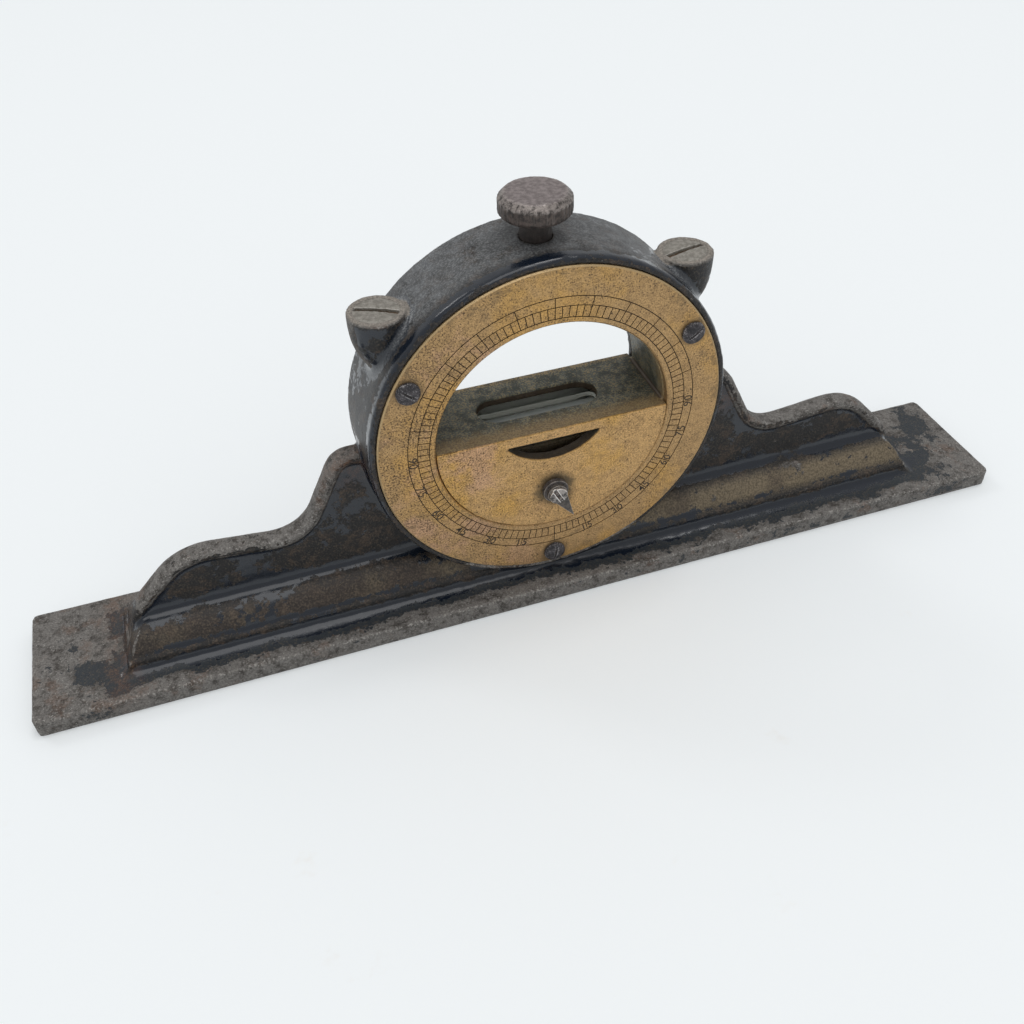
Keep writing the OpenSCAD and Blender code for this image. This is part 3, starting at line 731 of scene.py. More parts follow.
class Bench:
    """The modelling operations that the pieces share."""

    near_rounds = 5
    wide_rounds = 36
    edge_gain = 3.2
    hollow_gain = 0.9

    def __init__(self, nodes: dict[str, Object]) -> None:
        """Keeps the frame's nodes by name."""
        self.nodes = nodes

    @staticmethod
    def hold(piece: Object) -> None:
        """Makes one piece the only selected one."""
        bpy.ops.object.select_all(action="DESELECT")
        piece.select_set(True)
        bpy.context.view_layer.objects.active = piece

    @staticmethod
    def modify(piece: Object, kind: str, **settings: Any) -> None:
        """Adds a modifier and applies it.

        Args:
            piece: The piece.
            kind: The modifier's type.
            **settings: Its properties.
        """
        Bench.hold(piece)
        modifier = piece.modifiers.new(kind.title(), kind)
        for name, value in settings.items():
            setattr(modifier, name, value)
        bpy.ops.object.modifier_apply(modifier=modifier.name)

    @staticmethod
    def place(piece: Object, matrix: Matrix) -> None:
        """Moves a piece and puts its place into its mesh.

        Args:
            piece: The piece, at the origin.
            matrix: Where it goes.
        """
        piece.matrix_world = matrix
        Bench.hold(piece)
        bpy.ops.object.transform_apply(location=True, rotation=True, scale=True)

    @staticmethod
    def points_of(mesh: Mesh, what: str = "co") -> np.ndarray:
        """The points or the normals of a mesh's vertices, as an array."""
        values = np.empty(3 * len(mesh.vertices))
        mesh.vertices.foreach_get(what, values)
        return values.reshape(-1, 3)

    @staticmethod
    def move_points(mesh: Mesh, points: np.ndarray) -> None:
        """Moves a mesh's vertices to other points."""
        mesh.vertices.foreach_set("co", points.ravel())
        mesh.update()

    def join(self, made: Sequence[Object], name: str) -> Object:
        """Joins pieces into one.

        Args:
            made: The pieces.
            name: The joined piece's name.

        Returns:
            The joined piece.
        """
        self.hold(made[0])
        for piece in made:
            piece.select_set(True)
        bpy.ops.object.join()
        piece = bpy.context.object
        piece.name = name
        return piece

    def copy_node(self, node: str, name: str) -> Object:
        """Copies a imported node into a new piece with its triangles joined.

        Args:
            node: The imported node.
            name: The new piece's name.

        Returns:
            The new piece.
        """
        piece = bpy.data.objects.new(name, self.nodes[node].data.copy())
        bpy.context.scene.collection.objects.link(piece)
        self.hold(piece)
        bpy.ops.object.mode_set(mode="EDIT")
        bpy.ops.mesh.select_all(action="SELECT")
        bpy.ops.mesh.remove_doubles(threshold=MERGED)
        bpy.ops.object.mode_set(mode="OBJECT")
        return piece

    def turn(self, name: str, profile: Sequence[Pair], steps: int) -> Object:
        """Turns a profile about the Z axis.

        Args:
            name: The new piece's name.
            profile: Its corners as radius and height, from the bottom of the axis to its top.
            steps: How many faces go round.

        Returns:
            The closed piece.
        """
        bpy.ops.object.select_all(action="DESELECT")
        bpy.ops.mesh.primitive_plane_add(size=MM, location=(profile[0][0], 0, profile[0][1]))
        piece = bpy.context.object
        piece.name = name
        bpy.ops.object.transform_apply(location=True)
        bpy.ops.object.mode_set(mode="EDIT")
        bpy.ops.mesh.select_all(action="SELECT")
        bpy.ops.mesh.merge(type="CENTER")
        for (r0, z0), (r1, z1) in zip(profile, profile[1:]):
            bpy.ops.mesh.extrude_region_move(TRANSFORM_OT_translate={"value": (r1 - r0, 0, z1 - z0)})
        bpy.ops.mesh.select_all(action="SELECT")
        bpy.ops.mesh.spin(steps=steps, angle=math.tau, center=(0, 0, 0), axis=(0, 0, 1))
        bpy.ops.mesh.select_all(action="SELECT")
        bpy.ops.mesh.remove_doubles(threshold=MERGED)
        bpy.ops.mesh.normals_make_consistent(inside=False)
        bpy.ops.object.mode_set(mode="OBJECT")
        return piece

    def cut_slot(
        self, piece: Object, length: float, width: float, floor: float, top: float, lean: float = 0.0
    ) -> None:
        """Saws a straight slot across the top of a piece that stands on the Z axis.

        Args:
            piece: The piece.
            length: The slot's length.
            width: Its width.
            floor: The height of its floor.
            top: A height above the piece.
            lean: How much wider the slot is at its +X end, as a share.
        """
        bpy.ops.object.select_all(action="DESELECT")
        bpy.ops.mesh.primitive_cube_add(size=1, location=(0, 0, (floor + top) / 2))
        saw = bpy.context.object
        saw.scale = (length, width, top - floor)
        bpy.ops.object.transform_apply(location=True, scale=True)
        for vertex in saw.data.vertices:
            if vertex.co.x > 0:
                vertex.co.y *= 1 + lean
        self.modify(piece, "BOOLEAN", operation="DIFFERENCE", solver="EXACT", object=saw)
        bpy.data.objects.remove(saw)

    def age(
        self,
        piece: Object,
        grain: float,
        pitting: float = 0.0,
        lumps: float = 2.5 * MM,
        faces: int | None = None,
        spare: Shares | None = None,
        fillet: int = 0,
        eased: Shares | None = None,
    ) -> None:
        """Rounds a piece's edges as wear does, roughens it and marks its edges and hollows.

        Args:
            piece: The piece.
            grain: The size of the even mesh that it is given, about the edges' rounding.
            pitting: How deep its surface is uneven.
            lumps: How far apart the unevenness is.
            faces: How many triangles it may keep, or None for all.
            spare: Says for each point, as an array, how much of the roughening it takes, from 0 to 1.
            fillet: How many rounds of smoothing fill its inner corners, as in a casting.
            eased: Says for each point, as an array, how much of that smoothing it takes, from 0 to 1.
        """
        self.modify(piece, "REMESH", mode="VOXEL", voxel_size=grain)
        self.modify(piece, "SMOOTH", factor=0.5, iterations=1)
        if fillet:
            self.mark_wear(piece, grain)
            corners = np.clip(self.stored(piece.data, "hollow") * 4, 0, 1)
            group = self.weigh(piece, corners * (eased(self.points_of(piece.data)) if eased else 1))
            self.modify(piece, "SMOOTH", factor=0.5, iterations=fillet, vertex_group=group)
            piece.vertex_groups.clear()
        if pitting:
            self.roughen(piece, pitting, lumps, spare)
        self.mark_wear(piece, grain)
        count = 2 * len(piece.data.polygons)
        if faces and count > faces:
            self.modify(piece, "DECIMATE", ratio=faces / count)
        piece.data.shade_smooth()

    def roughen(self, piece: Object, depth: float, lumps: float, spare: Shares | None) -> None:
        """Makes a surface uneven.

        Args:
            piece: The piece.
            depth: How deep the unevenness is.
            lumps: How far apart it is.
            spare: As for age.
        """
        points = self.points_of(piece.data)
        group = self.weigh(piece, spare(points) if spare else np.ones(len(points)))
        for size, share in ((lumps, 1.0), (lumps / 3.5, 0.45)):
            cloud = bpy.data.textures.new("unevenness", "CLOUDS")
            cloud.noise_scale = size
            cloud.noise_depth = 3
            depths = {"strength": depth * share * 2, "mid_level": 0.5}
            self.modify(piece, "DISPLACE", texture=cloud, vertex_group=group, **depths)
        piece.vertex_groups.clear()

    @staticmethod
    def stored(mesh: Mesh, name: str) -> np.ndarray:
        """The numbers that are stored at a mesh's points under a name."""
        values = np.empty(len(mesh.vertices), np.float32)
        mesh.attributes[name].data.foreach_get("value", values)
        return values

    @staticmethod
    def weigh(piece: Object, weights: np.ndarray) -> str:
        """Puts a piece's points in a group, by how much a modifier is to move them.

        Args:
            piece: The piece.
            weights: A number from 0 to 1 for each point.

        Returns:
            The group's name.
        """
        group = piece.vertex_groups.new(name="weighed")
        for level in range(1, 11):
            found = np.flatnonzero(np.rint(weights * 10) == level)
            group.add(found.tolist(), level / 10, "REPLACE")
        return group.name

    def mark_wear(self, piece: Object, grain: float) -> None:
        """Stores at each point how sharply the surface bends outwards, as edge, and inwards, as hollow.

        Args:
            piece: The piece, with an even mesh.
            grain: The size of its faces.
        """
        mesh = piece.data
        points, normals = self.points_of(mesh), self.points_of(mesh, "normal")
        ends = np.empty(2 * len(mesh.edges), int)
        mesh.edges.foreach_get("vertices", ends)
        first, second = ends.reshape(-1, 2).T
        count = len(points)
        shared = np.bincount(first, minlength=count) + np.bincount(second, minlength=count)

        def eased(start: np.ndarray, rounds: int) -> np.ndarray:
            """Moves each point halfway to the middle of its neighbours, several times."""
            for _ in range(rounds):
                sums = [
                    np.bincount(first, column[second], count) + np.bincount(second, column[first], count)
                    for column in start.T
                ]
                start = 0.5 * start + 0.5 * np.stack(sums, axis=1) / shared[:, None]
            return start

        near = eased(points, self.near_rounds)
        wide = eased(near, self.wide_rounds)
        for name, offset, gain in (
            ("edge", points - near, self.edge_gain),
            ("hollow", wide - points, self.hollow_gain),
        ):
            store(mesh, name, np.clip(np.einsum("ij,ij->i", offset, normals) / grain * gain, 0, 1))


def store(mesh: Mesh, name: str, values: np.ndarray) -> None:
    """Stores a number at each point of a mesh.

    Args:
        mesh: The mesh.
        name: The attribute's name.
        values: One number for each vertex.
    """
    attribute = mesh.attributes.get(name) or mesh.attributes.new(name, "FLOAT", "POINT")
    attribute.data.foreach_set("value", values.astype(np.float32))


def hand_over(piece: Object, material: Material, body: str, slot: str, *nodes: str) -> None:
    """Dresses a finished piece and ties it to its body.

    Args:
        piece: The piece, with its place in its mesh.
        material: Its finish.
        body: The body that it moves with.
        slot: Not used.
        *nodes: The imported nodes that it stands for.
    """
    piece.data.materials.clear()
    piece.data.materials.append(material)
    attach(piece, body)
    if nodes:
        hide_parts(*nodes)
    LOG.info("%s: %d faces, rides %s", piece.name, len(piece.data.polygons), body)


def dress(node: Object, material: Material) -> None:
    """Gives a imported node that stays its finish.

    Args:
        node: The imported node.
        material: Its finish.
    """
    node.data.materials.clear()
    node.data.materials.append(material)
    LOG.info("%s: kept as packed, with %s", node.name, material.name)


# ------------------------------------------------------------------------------------------ the body
def ramp(values: np.ndarray, low: float, high: float) -> np.ndarray:
    """Goes straight from 0 to 1 as the values go from low to high."""
    return np.clip((values - low) / (high - low), 0, 1)


def blots(first: np.ndarray, second: np.ndarray, spots: dict[Pair, float]) -> np.ndarray:
    """How strongly round blots, given by their middles and reaches, cover each point: 1 in a middle."""
    distances = (((first - a) ** 2 + (second - b) ** 2) / reach**2 for (a, b), reach in spots.items())
    return sum(np.exp(-distance) for distance in distances)


@dataclass
class Casting:
    """The iron body: sole, moulded foot, ogee wings with their bead, ring and side lugs."""

    bench: Bench
    ring: Vector
    dial_r: float
    rim: float = 1.7 * MM
    grain: float = 0.46 * MM
    unevenness: float = 0.085 * MM
    lumps: float = 4.5 * MM
    fillet: int = 45
    faces: int = 190_000
    margin: float = 0.4 * MM
    bore_r: float = 31.4 * MM
    base_t: float = 4.8 * MM
    lug_x: float = 35.0 * MM
    lug_z: float = 81.6 * MM
    lug_r: float = 6.3 * MM
    plug_r: float = 5.0 * MM
    plug_d: float = 2.8 * MM
    wing_x: float = 103 * MM
    wing_y: float = 3.2 * MM
    wing_z: float = 17 * MM
    foot_x: float = 106 * MM
    foot_y: float = 11.5 * MM
    coated: dict[Pair, float] = field(
        default_factory=lambda: {
            (-113.5 * MM, -7 * MM): 3.6 * MM,
            (-107 * MM, -12 * MM): 3 * MM,
            (111 * MM, -3 * MM): 4 * MM,
            (120 * MM, 8 * MM): 3.2 * MM,
        }
    )
    rusted: dict[Pair, float] = field(
        default_factory=lambda: {
            (-47 * MM, 45 * MM): 5 * MM,
            (-107 * MM, 7 * MM): 4 * MM,
            (48 * MM, 38 * MM): 3 * MM,
        }
    )

    @property
    def ring_r(self) -> float:
        """The ring's radius, with its rim round the dial."""
        return self.dial_r + self.rim

    def from_ring(self, x: np.ndarray, z: np.ndarray) -> np.ndarray:
        """How far points are from the ring's axis."""
        return np.hypot(x, z - self.ring.z)

    def from_lug(self, x: np.ndarray, y: np.ndarray) -> np.ndarray:
        """How far points are from the nearer lug's axis."""
        return np.hypot(np.abs(x) - self.lug_x, y)

    def build(self) -> None:
        """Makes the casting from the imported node."""
        piece = self.bench.copy_node("body_casting", "iron_casting")
        self.bench.age(
            piece,
            self.grain,
            pitting=self.unevenness,
            lumps=self.lumps,
            faces=self.faces,
            spare=self.is_rough,
            fillet=self.fillet,
            eased=self.is_filleted,
        )
        self.mark_finish(piece)
        self.level_sole(piece)
        hand_over(piece, JapannedIron().material(), "root", "japanned_iron", "body_casting")

    def is_rough(self, points: np.ndarray) -> np.ndarray:
        """Says where the casting was left rough, and not machined.

        Args:
            points: The points, one in each row.

        Returns:
            1 on the rough skin and 0 on the machined faces.
        """
        x, y, z = points.T
        out = self.from_ring(x, z)
        machined = (out < self.bore_r + self.margin) | (z < self.margin)
        machined |= (out < self.ring_r - 1.0 * MM) & (y < self.ring.y + 1.0 * MM) & (z > self.base_t)
        machined |= (z > self.lug_z - self.plug_d) & (self.from_lug(x, y) < self.plug_r)
        return 1.0 - machined

    def is_filleted(self, points: np.ndarray) -> np.ndarray:
        """Says how softly the casting's inner corners are filled.

        Args:
            points: The points, one in each row.

        Returns:
            1 where the lugs and the wings join the ring, less along the foot, and 0 on the machined faces.
        """
        x, y, z = points.T
        at_lug = (self.from_lug(x, y) < 2 * self.lug_r) & (z > self.ring.z)
        at_wing = (self.from_ring(x, z) < self.ring_r + 4 * MM) & (z > 6 * self.base_t)
        return self.is_rough(points) * np.where(at_lug | at_wing, 1.0, 0.3)

    def mark_finish(self, piece: Object) -> None:
        """Stores at each point how bare, rubbed or rusted the casting is there, and where it takes dust and a
        painted sky reflection.

        Args:
            piece: The casting.
        """
        mesh = piece.data
        points, normals = Bench.points_of(mesh), Bench.points_of(mesh, "normal")
        x, y, z = points.T
        out = self.from_ring(x, z)
        lug = (z > self.lug_z - 0.7 * MM) & (self.from_lug(x, y) < self.lug_r + 0.6 * MM)
        sole, bead = self.bare_sole(points, normals), self.bare_bead(points, normals)
        bare = np.maximum.reduce([sole, bead, 0.95 * lug])
        round_dial = (out > self.ring_r - 2.2 * MM) & (y < self.ring.y + 1.2 * MM) & (z > 3 * self.base_t)
        on_lug = (self.from_lug(x, y) < self.lug_r + 1.5 * MM) & (z > self.ring.z + 15 * MM)
        store(mesh, "bare", np.clip(bare, 0, 1) - 0.7 * round_dial - 0.15 * (on_lug & ~lug))
        store(mesh, "rubbed", lug * ramp(normals[:, 2], 0.5, 1.0))
        store(mesh, "rusted", np.clip(0.45 * blots(x, z, self.rusted), 0, 1))
        # upward faces of the ring's top behind its rim: dust, and a painted sky reflection
        behind_rim = ramp(out, self.ring_r - 0.5 * MM, self.ring_r) * (z > self.ring.z)
        behind_rim *= ramp(y, self.ring.y + 1.0 * MM, self.ring.y + 3.5 * MM)
        store(mesh, "dust", np.clip(normals[:, 2] * 1.3, 0, 1) * behind_rim)

    def bare_sole(self, points: np.ndarray, normals: np.ndarray) -> np.ndarray:
        """Says how bare the sole is, as it keeps its japan beside the foot and in a few patches.

        Args:
            points: The points, one in each row.
            normals: Which way the surface looks there.

        Returns:
            A number for each point, up to 1 where it is bare.
        """
        x, y, z = points.T
        foot = ramp(np.abs(y), self.foot_y + 5 * MM, self.foot_y)
        foot *= ramp(np.abs(x), self.foot_x + 6 * MM, self.foot_x)
        sole = ramp(z, self.base_t + 0.8 * MM, self.base_t + 0.2 * MM)
        sole = sole * np.where(np.abs(normals[:, 2]) < 0.6, 0.9, 1.0) * (1 - 0.8 * foot)
        return sole * (1 - 0.3 * ramp(x, 20 * MM, 70 * MM)) - 1.4 * blots(x, y, self.coated)

    def bare_bead(self, points: np.ndarray, normals: np.ndarray) -> np.ndarray:
        """Says how bare the bead along the wings' edge is.

        Args:
            points: The points, one in each row.
            normals: Which way the surface looks there.

        Returns:
            A number for each point, up to 0.8.
        """
        x, y, z = points.T
        on_wing = ((z > self.wing_z) | (np.abs(x) > self.wing_x)) & (np.abs(y) < self.wing_y)
        on_wing &= z > self.base_t
        on_wing &= self.from_ring(x, z) > self.ring_r + 0.6 * MM
        return 0.8 * on_wing * ramp(np.abs(normals[:, 2]) + np.abs(normals[:, 0]), 0.35, 0.65)

    @staticmethod
    def level_sole(piece: Object) -> None:
        """Makes the underside of the sole flat, and sets it on the ground."""
        points = Bench.points_of(piece.data)
        points[points[:, 2] < 0.35 * MM, 2] = 0.0
        Bench.move_points(piece.data, points)


# ------------------------------------------------------------------------------------------ dial
@dataclass
class Dial:
    """The brass dial plate with its engraved scale and stamped figures."""

    bench: Bench
    ring: Vector
    face_y: float
    dial_r: float
    screws: tuple[Point, ...]
    scale_in: float = 29.3 * MM
    scale_mid: float = 32.0 * MM
    scale_out: float = 34.2 * MM
    figure_h: float = 2.05 * MM
    letter_share: float = 1.38
    figure_gap: float = 0.85 * MM
    figure_rise: float = 0.015 * MM
    figure_bold: float = 0.012 * MM
    step: int = 15
    last: int = 90

    def build(self) -> None:
        """Dresses the plate and stamps its figures."""
        engraved = Engraving(
            tuple(self.ring), self.face_y, self.scale_in, self.scale_out, self.dial_r, self.screws
        )
        brass = AgedBrass("dial_brass", engraved=engraved)
        dress(self.bench.nodes["dial_plate"], brass.material())
        self.figures()

    def figures(self) -> None:
        """Stamps the figures astride the long divisions of the lower half."""
        middle = (self.scale_mid + self.scale_out) / 2
        centre = Matrix.Translation((self.ring.x, self.face_y, self.ring.z))
        made = []
        for value in range(self.step, self.last + 1, self.step):
            for turn in (math.radians(-value), math.radians(value)):
                for digit, shift in zip(str(value), (-self.figure_gap, self.figure_gap)):
                    spot = centre @ Matrix.Rotation(-turn, 4, "Y") @ Matrix.Translation((shift, 0, -middle))
                    made.append(self.figure(digit, spot @ Axis.FRONT.value))
        piece = self.bench.join(made, "dial_figures")
        hand_over(piece, Dirt().material(), "root", "dial_brass")

    def figure(self, digit: str, spot: Matrix) -> Object:
        """Makes one figure.

        Args:
            digit: The figure.
            spot: Where its middle lies, with its face towards +Z.

        Returns:
            The figure as a mesh.
        """
        bpy.ops.object.select_all(action="DESELECT")
        bpy.ops.object.text_add()
        piece = bpy.context.object
        piece.data.body = digit
        piece.data.size = self.figure_h * self.letter_share
        piece.data.align_x = "CENTER"
        piece.data.align_y = "CENTER"
        piece.data.extrude = self.figure_rise
        piece.data.offset = self.figure_bold
        piece.data.resolution_u = 4
        bpy.ops.object.convert(target="MESH")
        bpy.ops.object.origin_set(type="ORIGIN_GEOMETRY", center="BOUNDS")
        piece = bpy.context.object
        self.bench.place(piece, spot)
        return piece


# ------------------------------------------------------------------------------------------ screws
def seated(place: Point, axis: Axis, turn: float) -> Matrix:
    """A screw's seat: its place, which way its head looks, and its slot's turn in degrees."""
    return Matrix.Translation(place) @ axis.value @ Matrix.Rotation(math.radians(turn), 4, "Z")


def on_circle(middle: Vector, radius: float, degrees: float) -> Point:
    """A point on an upright circle, at an angle from +X towards +Z."""
    angle = math.radians(degrees)
    return (middle.x + radius * math.cos(angle), middle.y, middle.z + radius * math.sin(angle))


@dataclass(frozen=True)
class Head:
    """A slotted screw, with its domed head and its plain shank."""

    radius: float
    height: float
    crown: float
    slot_w: float
    slot_d: float
    shank_r: float
    shank_l: float
    grain: float = 0.11 * MM
    pitting: float = 0.02 * MM
    lumps: float = 1.1 * MM
    lean: float = 0.0
    steps: int = 48
    dome_steps: int = 8

    def profile(self) -> list[Pair]:
        """The screw's outline as radius and height, from the shank's end to the top of the dome."""
        side = self.height - self.crown
        angles = [math.pi / 2 * k / self.dome_steps for k in range(self.dome_steps)]
        dome = [(self.radius * math.cos(a), side + self.crown * math.sin(a)) for a in angles]
        shank = [(0, -self.shank_l), (self.shank_r, -self.shank_l), (self.shank_r, 0), (self.radius, 0)]
        return [*shank, *dome, (0, self.height)]

    def build(self, bench: Bench, name: str, spot: Matrix) -> Object:
        """Turns, saws and ages a screw.

        Args:
            bench: The bench.
            name: The piece's name.
            spot: Where its head sits, with the head towards +Z and the slot along X.

        Returns:
            The screw.
        """
        piece = bench.turn(name, self.profile(), self.steps)
        floor, above = self.height - self.slot_d, 2 * self.height
        bench.cut_slot(piece, 3 * self.radius, self.slot_w, floor, above, self.lean)
        bench.age(piece, self.grain, self.pitting, self.lumps)
        bench.place(piece, spot)
        return piece

    def build_set(self, bench: Bench, name: str, spots: Sequence[Matrix]) -> Object:
        """Makes a screw at each spot, and joins them as one piece."""
        return bench.join([self.build(bench, f"{name}_{k}", spot) for k, spot in enumerate(spots)], name)


@dataclass
class DialScrews:
    """The three dark round-headed screws of the dial."""

    bench: Bench
    ring: Vector
    face_y: float
    circle: float = 37.6 * MM
    turns: tuple[float, float, float] = (78.0, 35.0, -40.0)
    head: Head = Head(
        radius=2.7 * MM,
        height=1.4 * MM,
        crown=0.95 * MM,
        slot_w=0.55 * MM,
        slot_d=0.35 * MM,
        shank_r=1.35 * MM,
        shank_l=8 * MM,
        pitting=0.09 * MM,
    )

    def places(self) -> list[Point]:
        """Where the screws' heads sit on the dial."""
        middle = Vector((0, self.face_y, self.ring.z))
        return [on_circle(middle, self.circle, -90 + 120 * k) for k in range(len(self.turns))]

    def build(self) -> None:
        """Makes the screws as one piece for their node."""
        material = Steel(
            "dial_screw_steel",
            skin=(0.020, 0.019, 0.022),
            mottle=(0.062, 0.055, 0.060),
            bright=(0.62, 0.60, 0.60),
            rust=(0.030, 0.021, 0.017),
            wear=0.35,
        ).material()
        spots = [seated(place, Axis.FRONT, turn) for place, turn in zip(self.places(), self.turns)]
        piece = self.head.build_set(self.bench, "dial_screw_set", spots)
        hand_over(piece, material, "root", "dark_steel", "dial_screws")


@dataclass
class LugScrews:
    """The flush slotted screws in the side lugs."""

    bench: Bench
    lug_x: float = 35.0 * MM
    turns: dict[str, float] = field(default_factory=lambda: {"left": -27.0, "right": 193.5})
    head: Head = Head(
        radius=5.2 * MM,
        height=2.5 * MM,
        crown=0.35 * MM,
        slot_w=0.95 * MM,
        slot_d=1.0 * MM,
        shank_r=2.35 * MM,
        shank_l=4.5 * MM,
        pitting=0.09 * MM,
        lean=0.6,
    )
    stand: float = 0.1 * MM

    def build(self) -> None:
        """Makes the left and the right screw."""
        material = Steel(
            "lug_screw_steel",
            skin=(0.185, 0.170, 0.145),
            mottle=(0.300, 0.280, 0.245),
            bright=(0.44, 0.42, 0.38),
            rust=(0.11, 0.062, 0.028),
            seep=0.25,
        ).material()
        for side, turn in self.turns.items():
            node = f"lug_screw_{side}"
            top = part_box(node)[1].z + self.stand
            x = self.lug_x if side == "right" else -self.lug_x
            spot = seated((x, 0, top - self.head.height), Axis.UP, turn)
            piece = self.head.build(self.bench, f"lug_plug_{side}", spot)
            hand_over(piece, material, "root", "worn_steel", node)


# ------------------------------------------------------------------------------------------ clamp
@dataclass
class Clamp:
    """The thumb screw on top of the ring, and the shoe that it presses on the drum."""

    bench: Bench
    thickness: float = 4.7 * MM
    steps: int = 160
    bevel: float = 1.2 * MM
    under_bevel: float = 0.7 * MM
    neck_r: float = 3.4 * MM
    ribs: int = 40
    rib_depth: float = 0.14 * MM
    grain: float = 0.17 * MM

    def build(self) -> None:
        """Makes the knob and dresses the shoe."""
        low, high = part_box("clamp_knob")
        radius, under = high.x, high.z - self.thickness
        profile = [
            (0, low.z),
            (self.neck_r, low.z),
            (self.neck_r, under),
            (radius - self.under_bevel, under),
            (radius, under + self.under_bevel),
            (radius, high.z - self.bevel),
            (radius - self.bevel, high.z),
            (0, high.z),
        ]
        piece = self.bench.turn("thumb_screw", profile, self.steps)
        self.bench.age(piece, self.grain, pitting=0.05 * MM, lumps=1.6 * MM)
        self.cut_ribs(piece, radius)
        steel = KnobSteel(radius, under, high.z, self.bevel)
        hand_over(piece, steel.material(), "knob", "worn_steel", "clamp_knob")
        dress(self.bench.nodes["clamp_shoe"], AgedBrass("shoe_brass", tarnish=0.3).material())

    def cut_ribs(self, piece: Object, radius: float) -> None:
        """Presses worn upright ribs into the knob's rim.

        Args:
            piece: The knob.
            radius: The rim's radius.
        """
        points = Bench.points_of(piece.data)
        out = np.hypot(points[:, 0], points[:, 1])
        around = np.arctan2(points[:, 1], points[:, 0])
        on_rim = ramp(out, radius - 0.6 * MM, radius - 0.2 * MM)
        press = self.rib_depth * on_rim * (0.5 - 0.5 * np.cos(self.ribs * around)) ** 2
        points[:, :2] *= (1 - press / np.maximum(out, MM))[:, None]
        Bench.move_points(piece.data, points)


# ------------------------------------------------------------------------------------------ drum
@dataclass
class LevelDrum:
    """The brass drum: half-round face with its crescent window, and the level plate with its slot."""

    bench: Bench
    ring: Vector
    face_y: float
    plate_rise: float = 0.4 * MM
    grain: float = 0.26 * MM
    faces: int = 150_000
    cover_screw: Head = Head(
        radius=1.9 * MM,
        height=1.0 * MM,
        crown=0.4 * MM,
        slot_w=0.55 * MM,
        slot_d=0.45 * MM,
        shank_r=0.95 * MM,
        shank_l=5 * MM,
    )
    screw_circle: float = 24.4 * MM
    screw_step: float = 76.0
    screw_turns: tuple[float, float, float] = (-15.0, 20.0, 55.0)
    cover_drop: float = 1.65 * MM

    def build(self) -> None:
        """Makes the drum and its cover's screws, and dresses the cover."""
        pivot_low, pivot_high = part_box("pointer_collar")
        cover_low, cover_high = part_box("back_cover")
        piece = self.bench.copy_node("level_drum", "drum_casting")
        self.bench.age(piece, self.grain, pitting=0.012 * MM, lumps=2.4 * MM, faces=self.faces)
        brass = DrumBrass(
            "drum_brass",
            metal=(0.560, 0.350, 0.150),
            gold=(0.590, 0.350, 0.105),
            pink=(0.590, 0.362, 0.232),
            face_y=self.face_y,
            back_y=cover_high.y,
            plate_z=self.ring.z + self.plate_rise,
            pivot=tuple((pivot_low + pivot_high) / 2),
            pitting=0.9,
        )
        hand_over(piece, brass.material(), "drum", "drum_brass", "level_drum")
        # the cover's inner face is painted pale: a painted reflection
        inside = (0.0, cover_low.y + 0.15 * MM)
        cover_brass = AgedBrass("cover_brass", tarnish=0.35, dusty=inside)
        dress(self.bench.nodes["back_cover"], cover_brass.material())
        self.cover_screws(Vector((0, cover_high.y, cover_high.z + self.cover_drop)))

    def cover_screws(self, middle: Vector) -> None:
        """Makes the three screws of the back cover.

        Args:
            middle: The middle of their circle.
        """
        spots = []
        for k, turn in zip((-1, 0, 1), self.screw_turns):
            place = on_circle(middle, self.screw_circle, -90 + k * self.screw_step)
            spots.append(seated(place, Axis.BACK, turn))
        piece = self.cover_screw.build_set(self.bench, "cover_screw_set", spots)
        hand_over(piece, Steel("cover_screw_steel").material(), "drum", "dark_steel", "cover_screws")


@dataclass
class Vial:
    """The level's glass with its spirit, in its plastered brass case."""

    bench: Bench

    def build(self) -> None:
        """Dresses the pieces, which are all seen through the slot."""
        nodes = self.bench.nodes
        # the case's back half is painted pale: a painted reflection of the glass, lightening the shaded wall
        dull = AgedBrass(
            "case_brass",
            metal=(0.26, 0.22, 0.16),
            gold=(0.28, 0.23, 0.15),
            pink=(0.27, 0.23, 0.18),
            tarnish=0.5,
            shine=0.6,
            dusty=(0.0, 10 * MM),
        )
        brass = dull.material()
        for name in ("vial_case", "case_cap_left", "case_cap_right"):
            dress(nodes[name], brass)
        steel = Steel("case_screw_steel").material()
        plaster = Plaster().material()
        for side in ("left", "right"):
            dress(nodes[f"case_screw_{side}"], steel)
            dress(nodes[f"bedding_{side}"], plaster)
        glass = Clear("vial_glass", tint=(0.40, 0.43, 0.41), bend=1.48, roughness=0.16, clear=0.30)
        spirit = Clear("spirit", tint=(0.62, 0.66, 0.56), bend=1.36, roughness=0.0)
        dress(nodes["vial_glass"], glass.material())
        dress(nodes["vial_spirit"], spirit.material())


